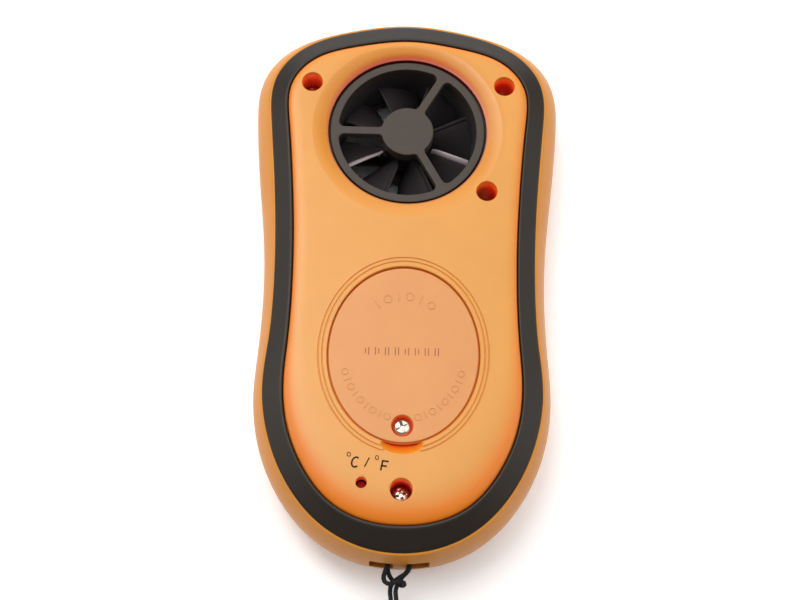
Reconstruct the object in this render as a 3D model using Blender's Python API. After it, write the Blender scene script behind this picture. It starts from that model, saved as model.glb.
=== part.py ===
"""Pocket anemometer, a handheld weather meter, lying face down with its back up.

Frame: the origin is under the middle of the case on the surface that it lies on, +Z points out of
the meter's back, +Y towards the impeller end and -Y towards the strap. Sizes are millimetres here
and become metres when a mesh is made.
"""
import math

import bmesh
import bpy
import numpy as np

MM = 0.001
GAP = 0.3                     # between pieces that touch

# Outlines of the right half, from the impeller end to the strap end, as (half width, y).
CASE_OUTLINE = [
    (0, 54.35), (13.0, 53.0), (24.4, 48.7), (28.8, 43.0), (29.75, 33.0), (28.7, 20.5), (27.2, 6.0),
    (26.9, -4.0), (27.4, -15.0), (27.8, -22.5), (26.4, -32.8), (22.9, -41.0), (15.9, -49.2),
    (7.6, -53.4), (0, -54.35),
]
BAND_OUTER_OUTLINE = [
    (0, 52.45), (11.0, 51.0), (22.2, 46.0), (26.1, 40.0), (26.4, 32.0), (25.25, 19.2), (24.45, 5.5),
    (24.35, -3.5), (24.8, -13.2), (25.55, -22.3), (24.05, -32.2), (20.6, -40.1), (14.3, -47.5),
    (7.0, -51.4), (0, -52.45),
]
BAND_INNER_OUTLINE = [
    (0, 48.65), (10.0, 47.3), (19.3, 43.7), (22.9, 38.6), (23.05, 31.0), (21.9, 18.6), (21.15, 5.0),
    (21.05, -3.5), (21.4, -13.6), (21.9, -22.0), (20.9, -30.3), (17.7, -37.9), (12.4, -44.2),
    (6.2, -47.2), (0, -47.95),
]
OUTLINE_POINTS = 56

# Heights above the surface that the meter lies on.
FRONT_PLATE_Z = 2.2           # inside of the front plate
WIDEST_Z = 9.0
LEDGE_Z = 12.3                # shelf that the rear case stands on
LIP_Z = 15.2                  # top of the front case's lip, outside the band
CEILING_Z = 15.3              # inside of the rear panel
BACK_Z = 17.5                 # flat of the rear panel
WALL = 2.2
LIP_WIDTH = 0.5               # how far the lip's outside stands outside the band
BAND_FOOT_Z = 13.7            # underside of the band
PANEL_FOOT_Z = 13.4           # top of the rear case's flange, under the band
PANEL_EDGE_Z = 16.6           # where the panel starts to round over
FRONT_ROUNDING = 4.2          # how far the front plate's flat lies inside the widest line
ABOVE_Z, BELOW_Z = 19.0, -1.0  # clear of both faces, for cuts that go right through

# Impeller.
DUCT_X, DUCT_Y = 0.0, 29.3
OPENING_R = 15.3
DUCT_R = 15.0
AIRWAY_R = 13.4
GUARD_HUB_R = 5.1
SPOKE_WIDTH = 1.7
SPOKE_ANGLES = (180, 60, -60)
GUARD_FLANGE_R = 16.5
REAR_GUARD_Z = 16.2
FRONT_GUARD_Z = 1.0
DISH_R = 18.5
DISH_DEPTH = 1.0
BLADES = 8
BLADE_START = math.radians(-37)
BLADE_ROOT_R, BLADE_TIP_R = 3.4, 12.9
ROOT_PITCH, TIP_PITCH = math.radians(58), math.radians(30)
ROOT_HALF_CHORD, TIP_HALF_CHORD = 2.6, 4.9
HUB_R = 4.0
HUB_LOW_Z, HUB_HIGH_Z = 5.4, 11.4
BLADE_MIDDLE_Z = 8.8
BLADE_THICKNESS = 0.8
SHAFT_R = 0.75

# Case screws as (name, x, y, height of the top of the head).
CASE_SCREWS = [
    ("case_screw_top_left", -18.8, 38.9, 12.6),
    ("case_screw_top_right", 18.85, 38.9, 7.9),
    ("case_screw_middle_right", 15.35, 16.45, 7.9),
    ("case_screw_bottom", 0.0, -41.7, 12.9),
]
WELL_R = 2.0
WELL_WALL_R = 3.2
HEAD_R = 1.8
HEAD_HEIGHT = 1.3
SHANK_R = 0.95
PILOT_CLEARANCE = 0.2
WELL_FLOOR = 1.3              # thickness of the floor that a screw head clamps
BOSS_R = 2.6
BOSS_FOOT_Z = 1.8             # bosses start inside the front plate

# Battery.
DOOR_CENTRE = (0.0, -16.4)
DOOR_AXES = (13.85, 16.8)
DOOR_TOP_Z, DOOR_LOW_Z = 17.35, 15.9
DOOR_SCREW = (0.0, -30.0)
DOOR_SCREW_TOP_Z = 16.4
DOOR_BOSS_LOW_Z = 14.6
CELL_CENTRE = (0.0, -14.0)
CELL_R = 10.0
CELL_LOW_Z, CELL_HIGH_Z = 11.6, 14.8
BOWL_R = 10.6
BOWL_WALL_R = 12.6
BOWL_FLOOR_Z = 10.6
BOWL_LOW_Z = 9.4
PAD_AXES = (15.6, 18.4)
PAD_Z = 13.0                  # underside of the thick ring round the battery door
SEAL_INNER_R, SEAL_OUTER_R = 11.5, 12.5

# Display, board and buttons.
LCD_CENTRE_Y = -6.0
BOARD_LOW_Z, BOARD_HIGH_Z = 7.6, 8.6
BOARD_SCREWS = [(-17.0, 10.2), (17.0, 10.2), (-18.0, -22.0), (18.0, -22.0)]
BUTTONS = {"power": (-13.0, -29.0), "mode": (0.0, -32.5), "set": (13.0, -29.0)}
BUTTON_R = 3.9
BUTTON_FACE_Z = 0.6
UNIT_SWITCH = (-7.15, -40.6)
UNIT_SWITCH_TOP_Z = 15.0

# Strap eye and cord.
POST_HALF_WIDTH = 1.15
EYE_HALF_WIDTH = 5.4
EYE_LOW_Z, EYE_HIGH_Z = 8.6, 12.0
STRAP_BLOCK = ((-7.5, -52.6, 5.5), (7.5, -48.4, 12.28))
CORD_R = 0.4
CORD_STEP = 1.15
COIL_CENTRE = (5.4, -70.5)
COIL_INNER_R, COIL_OUTER_R = 1.7, 7.0
COIL_HEIGHT = 1.75
CORD_LONG = [
    (-0.2, -51.3, 9.65), (-0.95, -51.4, 9.65), (-1.75, -52.1, 9.65), (-2.0, -53.2, 9.6),
    (-2.05, -54.4, 9.35), (-1.75, -55.45, 8.5), (-0.95, -56.35, 7.55), (0.15, -57.05, 7.75),
    (0.98, -57.25, 9.05), (0.55, -56.95, 10.4), (-0.55, -57.0, 10.6), (-1.5, -57.25, 10.3),
    (-2.25, -57.1, 10.1), (-2.7, -56.5, 10.05), (-2.65, -55.6, 10.3), (-2.25, -54.4, 10.65),
    (-1.95, -53.1, 10.75), (-1.7, -52.1, 10.75), (-0.9, -51.35, 10.75), (0.0, -51.2, 10.75),
    (0.9, -51.35, 10.75), (1.7, -52.1, 10.75), (1.95, -53.1, 10.75), (1.8, -54.3, 10.7),
    (1.25, -55.3, 10.4), (0.4, -56.25, 9.9), (-0.15, -57.15, 9.35), (-0.48, -57.95, 8.3),
    (-0.45, -58.7, 6.5), (-0.3, -59.3, 4.3), (-0.1, -60.1, 2.2), (-0.1, -61.3, 0.95),
    (-0.15, -62.6, 0.7), (-0.4, -63.9, 1.15), (-0.85, -65.2, 1.35), (-1.0, -66.35, 1.35),
]
CORD_SHORT = [
    (0.2, -51.3, 9.65), (0.95, -51.35, 9.65), (1.7, -52.1, 9.65), (1.95, -53.2, 9.6),
    (1.85, -54.4, 9.55), (1.1, -55.35, 9.35), (-0.15, -56.15, 8.95), (-1.2, -57.05, 8.6),
    (-1.5, -57.9, 7.8), (-1.45, -58.7, 6.3), (-1.3, -59.3, 4.2), (-1.15, -60.2, 2.1),
    (-1.1, -61.4, 0.8), (-1.1, -62.7, 0.45), (-1.05, -64.5, 0.45), (-1.0, -66.35, 0.45),
]


def clear_scene():
    """Remove every object that the file opened with."""
    for old in list(bpy.data.objects):
        bpy.data.objects.remove(old)


def spline_through(points, count, closed):
    """Return count points, evenly spaced, on a smooth cubic curve through the given points."""
    points = np.array(points, dtype=float)
    if closed:
        points = np.vstack([points, points[:1]])
    steps = np.linalg.norm(np.diff(points, axis=0), axis=1)
    knots = np.concatenate([[0.0], np.cumsum(steps)])
    last = len(points) - 1
    system = np.zeros((last + 1, last + 1))
    target = np.zeros((last + 1, points.shape[1]))
    for i in range(1, last):
        system[i, i - 1:i + 2] = steps[i - 1], 2 * (steps[i - 1] + steps[i]), steps[i]
        rise = (points[i + 1] - points[i]) / steps[i]
        target[i] = 6 * (rise - (points[i] - points[i - 1]) / steps[i - 1])
    if closed:
        system[0, 0], system[0, last] = 1, -1
        system[last, [0, 1]] = 2 * steps[0], steps[0]
        system[last, [last - 1, last]] += steps[-1], 2 * steps[-1]
        rise = (points[1] - points[0]) / steps[0]
        target[last] = 6 * (rise - (points[last] - points[last - 1]) / steps[-1])
    else:
        system[0, 0] = system[last, last] = 1
    bend = np.linalg.solve(system, target)

    def at(places):
        piece = np.clip(np.searchsorted(knots, places, side="right") - 1, 0, last - 1)
        width = steps[piece][:, None]
        ahead = (places - knots[piece])[:, None]
        behind = width - ahead
        cubic = (bend[piece] * behind**3 + bend[piece + 1] * ahead**3) / (6 * width)
        left = (points[piece] / width - bend[piece] * width / 6) * behind
        right = (points[piece + 1] / width - bend[piece + 1] * width / 6) * ahead
        return cubic + left + right

    fine = at(np.linspace(0, knots[-1], 4000))
    travelled = np.concatenate([[0.0], np.cumsum(np.linalg.norm(np.diff(fine, axis=0), axis=1))])
    wanted = np.linspace(0, travelled[-1], count, endpoint=not closed)
    return np.stack([np.interp(wanted, travelled, fine[:, k]) for k in range(points.shape[1])], axis=1)


def outline(half):
    """Mirror a half outline and return it as a smooth closed loop, anticlockwise from the top."""
    left = [(-x, y) for x, y in half]
    right = [(x, y) for x, y in half[-2:0:-1]]
    return spline_through(left + right, OUTLINE_POINTS, closed=True)


def inset(loop, distance):
    """Move each point of an anticlockwise loop inwards by a distance."""
    along = np.roll(loop, -1, axis=0) - np.roll(loop, 1, axis=0)
    along /= np.linalg.norm(along, axis=1)[:, None]
    inwards = np.stack([-along[:, 1], along[:, 0]], axis=1)
    return loop + inwards * np.reshape(distance, (-1, 1))


def ring(loop, z):
    """Lift a flat loop to height z."""
    return [(x, y, z) for x, y in loop]


def ellipse(centre, axes, z, count=24):
    """Return an elliptical ring."""
    angles = [math.tau * i / count for i in range(count)]
    return [(centre[0] + axes[0] * math.cos(a), centre[1] + axes[1] * math.sin(a), z) for a in angles]


def circle(centre, radius, z, count=24):
    """Return a circular ring."""
    return ellipse(centre, (radius, radius), z, count)


def box(low, high):
    """Return a box as two square rings."""
    corners = [(low[0], low[1]), (high[0], low[1]), (high[0], high[1]), (low[0], high[1])]
    return [ring(corners, low[2]), ring(corners, high[2])]


def drum(centre, radius, low, high, count=24):
    """Return an upright cylinder as two rings."""
    return [circle(centre, radius, low, count), circle(centre, radius, high, count)]


def turned(centre, profile, count=24):
    """Return the rings of a shape turned about an upright axis, from its (radius, z) profile."""
    return [circle(centre, radius, z, count) for radius, z in profile]


def add_shell(mesh, rings, closed):
    """Skin a stack of rings: capped at both ends, or joined end to end when closed."""
    rows = [[mesh.verts.new([c * MM for c in point]) for point in one] for one in rings]
    count = len(rows[0])
    pairs = list(zip(rows, rows[1:])) + ([(rows[-1], rows[0])] if closed else [])
    for lower, upper in pairs:
        for i in range(count):
            j = (i + 1) % count
            mesh.faces.new((lower[i], lower[j], upper[j], upper[i]))
    if not closed:
        mesh.faces.new(rows[0])
        mesh.faces.new(rows[-1])


def build(name, shells, closed=False, pivot=(0, 0, 0)):
    """Make an object out of separate shells, each a stack of rings, with its origin at the pivot."""
    mesh = bmesh.new()
    for rings in shells:
        add_shell(mesh, rings, closed)
    bmesh.ops.recalc_face_normals(mesh, faces=mesh.faces)
    bmesh.ops.translate(mesh, verts=mesh.verts, vec=[-c * MM for c in pivot])
    data = bpy.data.meshes.new(name)
    mesh.to_mesh(data)
    mesh.free()
    piece = bpy.data.objects.new(name, data)
    piece.location = [c * MM for c in pivot]
    bpy.context.collection.objects.link(piece)
    return piece


def combine(piece, operation, name, shells, closed=False):
    """Add or take away hidden shells with a Boolean modifier."""
    tool = build(f"{name}_tool", shells, closed)
    tool.hide_render = True
    tool.display_type = "WIRE"
    modifier = piece.modifiers.new(name, "BOOLEAN")
    modifier.operation = operation
    modifier.solver = "EXACT"
    modifier.object = tool


def add(piece, name, shells, closed=False):
    """Fuse more material onto a piece."""
    combine(piece, "UNION", name, shells, closed)


def cut(piece, name, shells, closed=False):
    """Cut a hollow out of a piece."""
    combine(piece, "DIFFERENCE", name, shells, closed)


def finish(piece, colour, roughness=0.5, metallic=0.0, alpha=1.0, smooth=True, parent=None):
    """Give a piece its own material, its shading and its parent."""
    material = bpy.data.materials.new(piece.name)
    material.use_nodes = True
    shader = material.node_tree.nodes["Principled BSDF"]
    shader.inputs["Base Color"].default_value = (*colour, 1)
    shader.inputs["Roughness"].default_value = roughness
    shader.inputs["Metallic"].default_value = metallic
    shader.inputs["Alpha"].default_value = alpha
    piece.data.materials.append(material)
    if smooth and piece.type == "MESH":
        piece.data.shade_smooth()
        piece.data.set_sharp_from_angle(angle=math.radians(35))
    if parent:
        piece.location = piece.location - parent.location
        piece.parent = parent
    return piece


ORANGE = (0.85, 0.33, 0.08)
DARK_RUBBER = (0.05, 0.045, 0.04)
GUARD_GREY = (0.11, 0.095, 0.08)
BLACK = (0.02, 0.018, 0.018)
STEEL = (0.7, 0.68, 0.64)
NICKEL = (0.62, 0.6, 0.55)
BOARD_GREEN = (0.03, 0.16, 0.07)
GLASS_GREY = (0.45, 0.5, 0.44)


def case_ring(case, band, z):
    """Return the front case's outside at a height: rounded in below the widest line and above it."""
    if z <= WIDEST_Z:
        drop = (WIDEST_Z - z) / WIDEST_Z
        return inset(case, FRONT_ROUNDING * (1 - math.sqrt(1 - drop**2)))
    rise = (z - WIDEST_Z) / (LIP_Z - WIDEST_Z)
    return case + (inset(band, -LIP_WIDTH) - case) * rise**2


def screw_floor(head_top):
    """Return the top of the well's floor, which the head clears by the gap."""
    return head_top - HEAD_HEIGHT - GAP


def screw_floor_bottom(head_top):
    """Return the underside of the well's floor."""
    return screw_floor(head_top) - WELL_FLOOR


def make_front_case(case, band):
    """Front shell: front plate, side wall, ledge, lip, screw bosses and strap eye."""
    inside_low = inset(case, FRONT_ROUNDING + 0.3)
    rings = [
        ring(inside_low, FRONT_PLATE_Z),
        ring(inset(case_ring(case, band, 4.0), WALL), 4.0),
        ring(inset(case_ring(case, band, 7.0), WALL), 7.0),
        ring(inset(case_ring(case, band, 10.6), WALL), 10.6),
        ring(inset(band, 1.4), 11.2),
        ring(inset(band, 1.4), LEDGE_Z),
        ring(inset(band, -0.15), LEDGE_Z),
        ring(inset(band, -0.15), LIP_Z),
    ]
    for z in (LIP_Z, 13.2, 11.2, WIDEST_Z, 6.0, 3.0, 1.2, 0.3, 0.0):
        rings.append(ring(case_ring(case, band, z), z))
    piece = build("front_case", [rings])
    bosses = []
    pilots = []
    for _, x, y, head_top in CASE_SCREWS:
        top = screw_floor_bottom(head_top) - GAP
        bosses.append(drum((x, y), BOSS_R, BOSS_FOOT_Z, top, 14))
        pilots.append(drum((x, y), SHANK_R + PILOT_CLEARANCE, 2.4, top + 1, 10))
    for place in BOARD_SCREWS:
        bosses.append(drum(place, 1.8, BOSS_FOOT_Z, BOARD_LOW_Z - GAP, 12))
        pilots.append(drum(place, 0.95, 3.0, BOARD_LOW_Z + 1, 10))
    add(piece, "bosses", bosses)
    add(piece, "strap_block", [box(*STRAP_BLOCK)])
    cut(piece, "pilots", pilots)
    openings = [drum((DUCT_X, DUCT_Y), OPENING_R, BELOW_Z, 4, 32)]
    openings += [drum(place, BUTTON_R + GAP, BELOW_Z, 4, 20) for place in BUTTONS.values()]
    cut(piece, "round_openings", openings)
    y = LCD_CENTRE_Y
    cut(piece, "window_pocket", [box((-18.3, y - 12.3, BELOW_Z), (18.3, y + 12.3, 1.6))])
    cut(piece, "window_opening", [box((-15.7, y - 9.7, BELOW_Z), (15.7, y + 9.7, 4))])
    windows = [
        box((-EYE_HALF_WIDTH, -57, EYE_LOW_Z), (-POST_HALF_WIDTH, -52.0, EYE_HIGH_Z)),
        box((POST_HALF_WIDTH, -57, EYE_LOW_Z), (EYE_HALF_WIDTH, -52.0, EYE_HIGH_Z)),
    ]
    cut(piece, "eye_windows", windows)
    cut(piece, "eye_hollow", [box((-EYE_HALF_WIDTH, -52.4, EYE_LOW_Z), (EYE_HALF_WIDTH, -50.0, 11.4))])
    finish(piece, ORANGE, 0.45)


def make_rear_case(band, panel):
    """Rear shell: raised panel with its flange, screw wells, battery bowl and impeller opening."""
    edge = inset(panel, GAP / 2)
    low_end = np.clip((-10 - panel[:, 1]) / 35, 0, 1)
    rounding = 2.0 + 3.0 * low_end
    rings = [
        ring(inset(panel, 2.0), CEILING_Z),
        ring(inset(panel, 2.0), LEDGE_Z + GAP),
        ring(inset(band, 1.5 * GAP), LEDGE_Z + GAP),
        ring(inset(band, 1.5 * GAP), PANEL_FOOT_Z),
        ring(edge, PANEL_FOOT_Z),
        ring(edge, PANEL_EDGE_Z),
        ring(inset(edge, 0.12 * rounding), 17.0),
        ring(inset(edge, 0.4 * rounding), 17.3),
        ring(inset(edge, rounding), BACK_Z),
    ]
    piece = build("rear_case", [rings])
    wells = []
    well_holes = []
    shank_holes = []
    for _, x, y, head_top in CASE_SCREWS:
        floor = screw_floor(head_top)
        wells.append(drum((x, y), WELL_WALL_R, screw_floor_bottom(head_top), 16.0, 16))
        well_holes.append(drum((x, y), WELL_R, floor, ABOVE_Z, 20))
        shank_holes.append(drum((x, y), SHANK_R + PILOT_CLEARANCE, 2, floor + 1, 12))
    add(piece, "wells", wells)
    add(piece, "door_pad", [[ellipse(DOOR_CENTRE, PAD_AXES, z, 32) for z in (PAD_Z, 16.0)]])
    add(piece, "bowl", [drum(CELL_CENTRE, BOWL_WALL_R, BOWL_LOW_Z, 15.0, 32)])
    add(piece, "door_screw_post", [drum(DOOR_SCREW, 2.9, BOWL_LOW_Z, 14.0, 16)])
    recess_axes = (DOOR_AXES[0] + GAP, DOOR_AXES[1] + GAP)
    recess_z = DOOR_LOW_Z - GAP
    cut(piece, "door_recess", [[ellipse(DOOR_CENTRE, recess_axes, z, 40) for z in (recess_z, ABOVE_Z)]])
    cut(piece, "door_boss_pocket", [drum(DOOR_SCREW, 3.05, 14.3, 17, 20)])
    cut(piece, "door_screw_pilot", [drum(DOOR_SCREW, 1.1, 10.0, 15, 10)])
    cut(piece, "cell_bore", [drum(CELL_CENTRE, BOWL_R, BOWL_FLOOR_Z, 17, 32)])
    inner, outer = SEAL_INNER_R - 0.2, SEAL_OUTER_R + 0.2
    groove = [(inner, 14.8), (outer, 14.8), (outer, 16), (inner, 16)]
    cut(piece, "seal_groove", [turned(CELL_CENTRE, groove, 32)], closed=True)
    x, y = CELL_CENTRE
    slots = [
        box((x + 9.5, y - 2.3, 9.0), (x + 11.2, y + 2.3, 15.0)),
        box((x - 1.8, y - 0.9, 9.0), (x + 1.8, y + 0.9, 12)),
    ]
    cut(piece, "contact_slots", slots)
    cut(piece, "wells_bored", well_holes)
    cut(piece, "shank_holes", shank_holes)
    cut(piece, "impeller_opening", [drum((DUCT_X, DUCT_Y), OPENING_R, 14, ABOVE_Z, 40)])
    inner = OPENING_R - 2
    dish = [
        (inner, BACK_Z - DISH_DEPTH), (OPENING_R, BACK_Z - DISH_DEPTH),
        (OPENING_R + 1.5, BACK_Z - 0.4 * DISH_DEPTH), (DISH_R, BACK_Z - 0.05),
        (DISH_R, ABOVE_Z), (inner, ABOVE_Z),
    ]
    cut(piece, "dish", [turned((DUCT_X, DUCT_Y), dish, 40)], closed=True)
    cut(piece, "unit_pinhole", [drum(UNIT_SWITCH, 1.05, 14, ABOVE_Z, 16)])
    notch = [
        ellipse((0, -32.6), (2.4, 0.7), 15.95, 24),
        ellipse((0, -33.2), (3.5, 1.8), BACK_Z, 24),
        ellipse((0, -33.2), (3.5, 1.8), ABOVE_Z, 24),
    ]
    cut(piece, "finger_notch", [notch])
    finish(piece, ORANGE, 0.42)


def make_grip_band(band, panel):
    """Rubber band that fills the channel between the lip and the raised panel."""
    outer = inset(band, GAP / 2)
    inner = inset(panel, -GAP / 2)
    rings = [
        ring(outer, BAND_FOOT_Z),
        ring(outer, LIP_Z),
        ring(inset(outer, 0.5), 15.75),
        ring(outer + (inner - outer) * 0.6, 16.55),
        ring(outer + (inner - outer) * 0.9, 16.95),
        ring(inner, 16.7),
        ring(inner, BAND_FOOT_Z),
    ]
    piece = build("grip_band", [rings], closed=True)
    finish(piece, DARK_RUBBER, 0.6)


def cross(centre, half_length, half_width, low, high):
    """Return an upright cross-shaped prism."""
    quarter = [(half_length, -half_width), (half_length, half_width), (half_width, half_width)]
    loop = []
    for turn in range(4):
        c, s = round(math.cos(turn * math.pi / 2)), round(math.sin(turn * math.pi / 2))
        loop += [(centre[0] + c * x - s * y, centre[1] + s * x + c * y) for x, y in quarter]
    return [ring(loop, low), ring(loop, high)]


def make_screw(name, place, head_top, head_r, head_height, shank_r, tip, parent=None):
    """Pan-headed screw with a cross recess, pointing down."""
    under = head_top - head_height
    profile = [
        (shank_r * 0.55, tip), (shank_r, tip + 0.8), (shank_r, under), (head_r, under),
        (head_r, under + 0.5 * head_height), (head_r * 0.85, head_top - 0.15), (head_r * 0.6, head_top),
    ]
    pivot = (*place, under)
    piece = build(name, [turned(place, profile, 14)], pivot=pivot)
    recess = cross(place, head_r * 0.58, head_r * 0.14, head_top - 0.55 * head_height, head_top + 1)
    cut(piece, f"{name}_recess", [recess])
    finish(piece, STEEL, 0.25, 1.0, parent=parent)


def make_battery_door(lift):
    """Elliptical door with a counterbored screw boss near its lower end."""
    loops = [
        ellipse(DOOR_CENTRE, DOOR_AXES, DOOR_LOW_Z, 40),
        ellipse(DOOR_CENTRE, DOOR_AXES, DOOR_TOP_Z - 0.2, 40),
        ellipse(DOOR_CENTRE, (DOOR_AXES[0] - 0.25, DOOR_AXES[1] - 0.25), DOOR_TOP_Z, 40),
    ]
    piece = build("battery_door", [loops])
    add(piece, "door_boss", [drum(DOOR_SCREW, 2.75, DOOR_BOSS_LOW_Z, DOOR_SCREW_TOP_Z, 16)])
    cut(piece, "counterbore", [drum(DOOR_SCREW, 2.05, DOOR_BOSS_LOW_Z + 0.7, ABOVE_Z, 20)])
    cut(piece, "door_screw_hole", [drum(DOOR_SCREW, 1.1, 14, 16, 10)])
    finish(piece, ORANGE, 0.42, parent=lift)


def make_battery():
    """Seal, coin cell and its two contacts."""
    inner, outer = SEAL_INNER_R, SEAL_OUTER_R
    profile = [(inner, 15.1), (outer, 15.1), (outer, 15.75), (inner, 15.75)]
    seal = build("battery_door_seal", [turned(CELL_CENTRE, profile, 32)], closed=True)
    finish(seal, BLACK, 0.7)
    low, high = CELL_LOW_Z, CELL_HIGH_Z
    profile = [
        (8.6, low), (8.9, low + 0.3), (9.2, low + 0.35), (CELL_R, low + 0.7),
        (CELL_R, high - 0.2), (CELL_R - 0.2, high),
    ]
    finish(build("coin_cell", [turned(CELL_CENTRE, profile, 28)]), STEEL, 0.3, 1.0)
    x, y = CELL_CENTRE
    blade_contact = box((x + 10.3, y - 1.9, 8.9), (x + 10.7, y + 1.9, 14.4))
    positive = build("battery_contact_positive", [blade_contact])
    finish(positive, NICKEL, 0.35, 1.0, smooth=False)
    floor_contact = box((x - 4.0, y - 0.6, 10.85), (x + 4.0, y + 0.6, 11.25))
    negative = build("battery_contact_negative", [floor_contact])
    add(negative, "contact_tab", [box((x - 1.5, y - 0.6, 8.9), (x + 1.5, y - 0.2, 11.0))])
    finish(negative, NICKEL, 0.35, 1.0, smooth=False)


def make_board():
    """Circuit board with its screws, chip, crystal and rotation sensor."""
    half = [(19.5, 12.8), (19.5, -10), (20.0, -24), (18.0, -34), (13.4, -42.2), (9.0, -45.6)]
    loop = half + [(-x, y) for x, y in reversed(half)]
    piece = build("circuit_board", [[ring(loop, BOARD_LOW_Z), ring(loop, BOARD_HIGH_Z)]])
    cut(piece, "boss_notch", [box((-3.6, -47, 6), (3.6, -38.0, 10))])
    cut(piece, "board_screw_holes", [drum(place, 1.0, 6, 10, 12) for place in BOARD_SCREWS])
    finish(piece, BOARD_GREEN, 0.4, smooth=False)
    top = BOARD_HIGH_Z + GAP
    profile = [(0.4, 3.6), (0.7, 4.0), (0.7, top), (1.4, top), (1.4, top + 0.6), (0.9, top + 1.0)]
    for number, place in enumerate(BOARD_SCREWS, 1):
        finish(build(f"board_screw_{number}", [turned(place, profile, 12)]), STEEL, 0.3, 1.0)
    chip = build("controller_chip", [box((-13.0, 1.5, top), (-5.0, 9.5, top + 1.3))])
    finish(chip, BLACK, 0.5, smooth=False)
    make_crystal((7.5, 5.0), top)
    sensor = build("rotation_sensor", [box((-2.0, 11.1, top), (2.0, 12.6, top + 3.2))])
    finish(sensor, BLACK, 0.5, smooth=False)


def make_crystal(centre, low):
    """Watch crystal: a small metal can lying along Y."""
    radius = 1.0
    rings = level_drum(centre[1] - 3.0, centre[1] + 3.0, low + radius, radius, 16)
    rings = [[(centre[0] + x, y, z) for x, y, z in one] for one in rings]
    finish(build("timing_crystal", [rings]), STEEL, 0.3, 1.0)


def make_display():
    """Front window, display glass, its connector strip and its holder."""
    y = LCD_CENTRE_Y
    window = build("display_window", [box((-18, y - 12, 0.4), (18, y + 12, 1.3))])
    finish(window, (0.9, 0.92, 0.9), 0.05, alpha=0.35, smooth=False)
    glass = build("lcd_glass", [box((-16.7, y - 11.3, 2.8), (16.7, y + 11.3, 4.6))])
    finish(glass, GLASS_GREY, 0.1, smooth=False)
    connector = build("lcd_connector", [box((-14.7, y + 9.1, 4.9), (14.7, y + 11.2, 7.3))])
    finish(connector, BLACK, 0.6, smooth=False)
    frame = build("lcd_frame", [box((-18.3, y - 13.4, 2.5), (18.3, y + 13.2, 7.3))])
    cut(frame, "glass_pocket", [box((-17, y - 11.6, 1), (17, y + 11.6, 4.9))])
    cut(frame, "strip_slot", [box((-15, y + 8.8, 4), (15, y + 11.5, 9))])
    cut(frame, "frame_lightening", [box((-14.5, y - 9.5, 4), (14.5, y + 7.0, 9))])
    finish(frame, (0.75, 0.74, 0.7), 0.5, smooth=False)


def make_duct():
    """Duct ring between the two guards, with the hole for the temperature bead."""
    centre = (DUCT_X, DUCT_Y)
    profile = [(AIRWAY_R, 3.7), (DUCT_R, 3.7), (DUCT_R, 13.8), (AIRWAY_R, 13.8)]
    duct = build("impeller_duct", [turned(centre, profile, 40)], closed=True)
    bead_y = DUCT_Y - AIRWAY_R
    hole = level_drum(bead_y - 3, bead_y + 1, 4.9, 0.95)
    cut(duct, "bead_hole", [hole])
    finish(duct, GUARD_GREY, 0.5)
    bead = build("temperature_sensor", [level_drum(bead_y - 2.4, bead_y + 0.5, 4.9, 0.65)])
    add(bead, "sensor_leads", [box((-0.9, 12.0, 4.6), (0.9, bead_y - 2.1, 5.2))])
    add(bead, "sensor_leads_up", [box((-0.9, 11.8, 4.6), (0.9, 12.3, BOARD_LOW_Z - GAP))])
    finish(bead, (0.1, 0.08, 0.07), 0.4)


def level_drum(y_low, y_high, z, radius, count=14):
    """Return a cylinder lying along Y on the meter's centre line."""
    rings = []
    angles = [math.tau * i / count for i in range(count)]
    for y in (y_low, y_high):
        rings.append([(radius * math.cos(a), y, z + radius * math.sin(a)) for a in angles])
    return rings


def spoke(angle):
    """Return the corners of one straight guard spoke, from inside the hub to inside the ring."""
    c, s = math.cos(math.radians(angle)), math.sin(math.radians(angle))
    half = SPOKE_WIDTH / 2
    corners = [(4.0, -half), (14.0, -half), (14.0, half), (4.0, half)]
    return [(DUCT_X + c * x - s * y, DUCT_Y + s * x + c * y) for x, y in corners]


def make_guard(name, face, inward):
    """Guard: a flanged ring, three spokes and a hub disc; inward is +1 or -1 along Z."""
    centre = (DUCT_X, DUCT_Y)
    shoulder = CEILING_Z - GAP if inward < 0 else FRONT_PLATE_Z + GAP
    back = shoulder + inward * 0.9
    profile = [
        (AIRWAY_R, face), (DUCT_R, face), (DUCT_R, shoulder), (GUARD_FLANGE_R, shoulder),
        (GUARD_FLANGE_R, back), (AIRWAY_R, back),
    ]
    piece = build(name, [turned(centre, profile, 40)], closed=True)
    low, high = sorted((face + inward * 0.02, face + inward * 1.5))
    add(piece, f"{name}_spokes", [[ring(spoke(a), low), ring(spoke(a), high)] for a in SPOKE_ANGLES])
    low, high = sorted((face, face + inward * 2.5))
    add(piece, f"{name}_hub", [drum(centre, GUARD_HUB_R, low, high, 40)])
    low, high = sorted((face + inward * 0.9, face + inward * 4))
    cut(piece, f"{name}_pocket", [drum(centre, 1.75, low, high, 20)])
    finish(piece, GUARD_GREY, 0.5)


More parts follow.
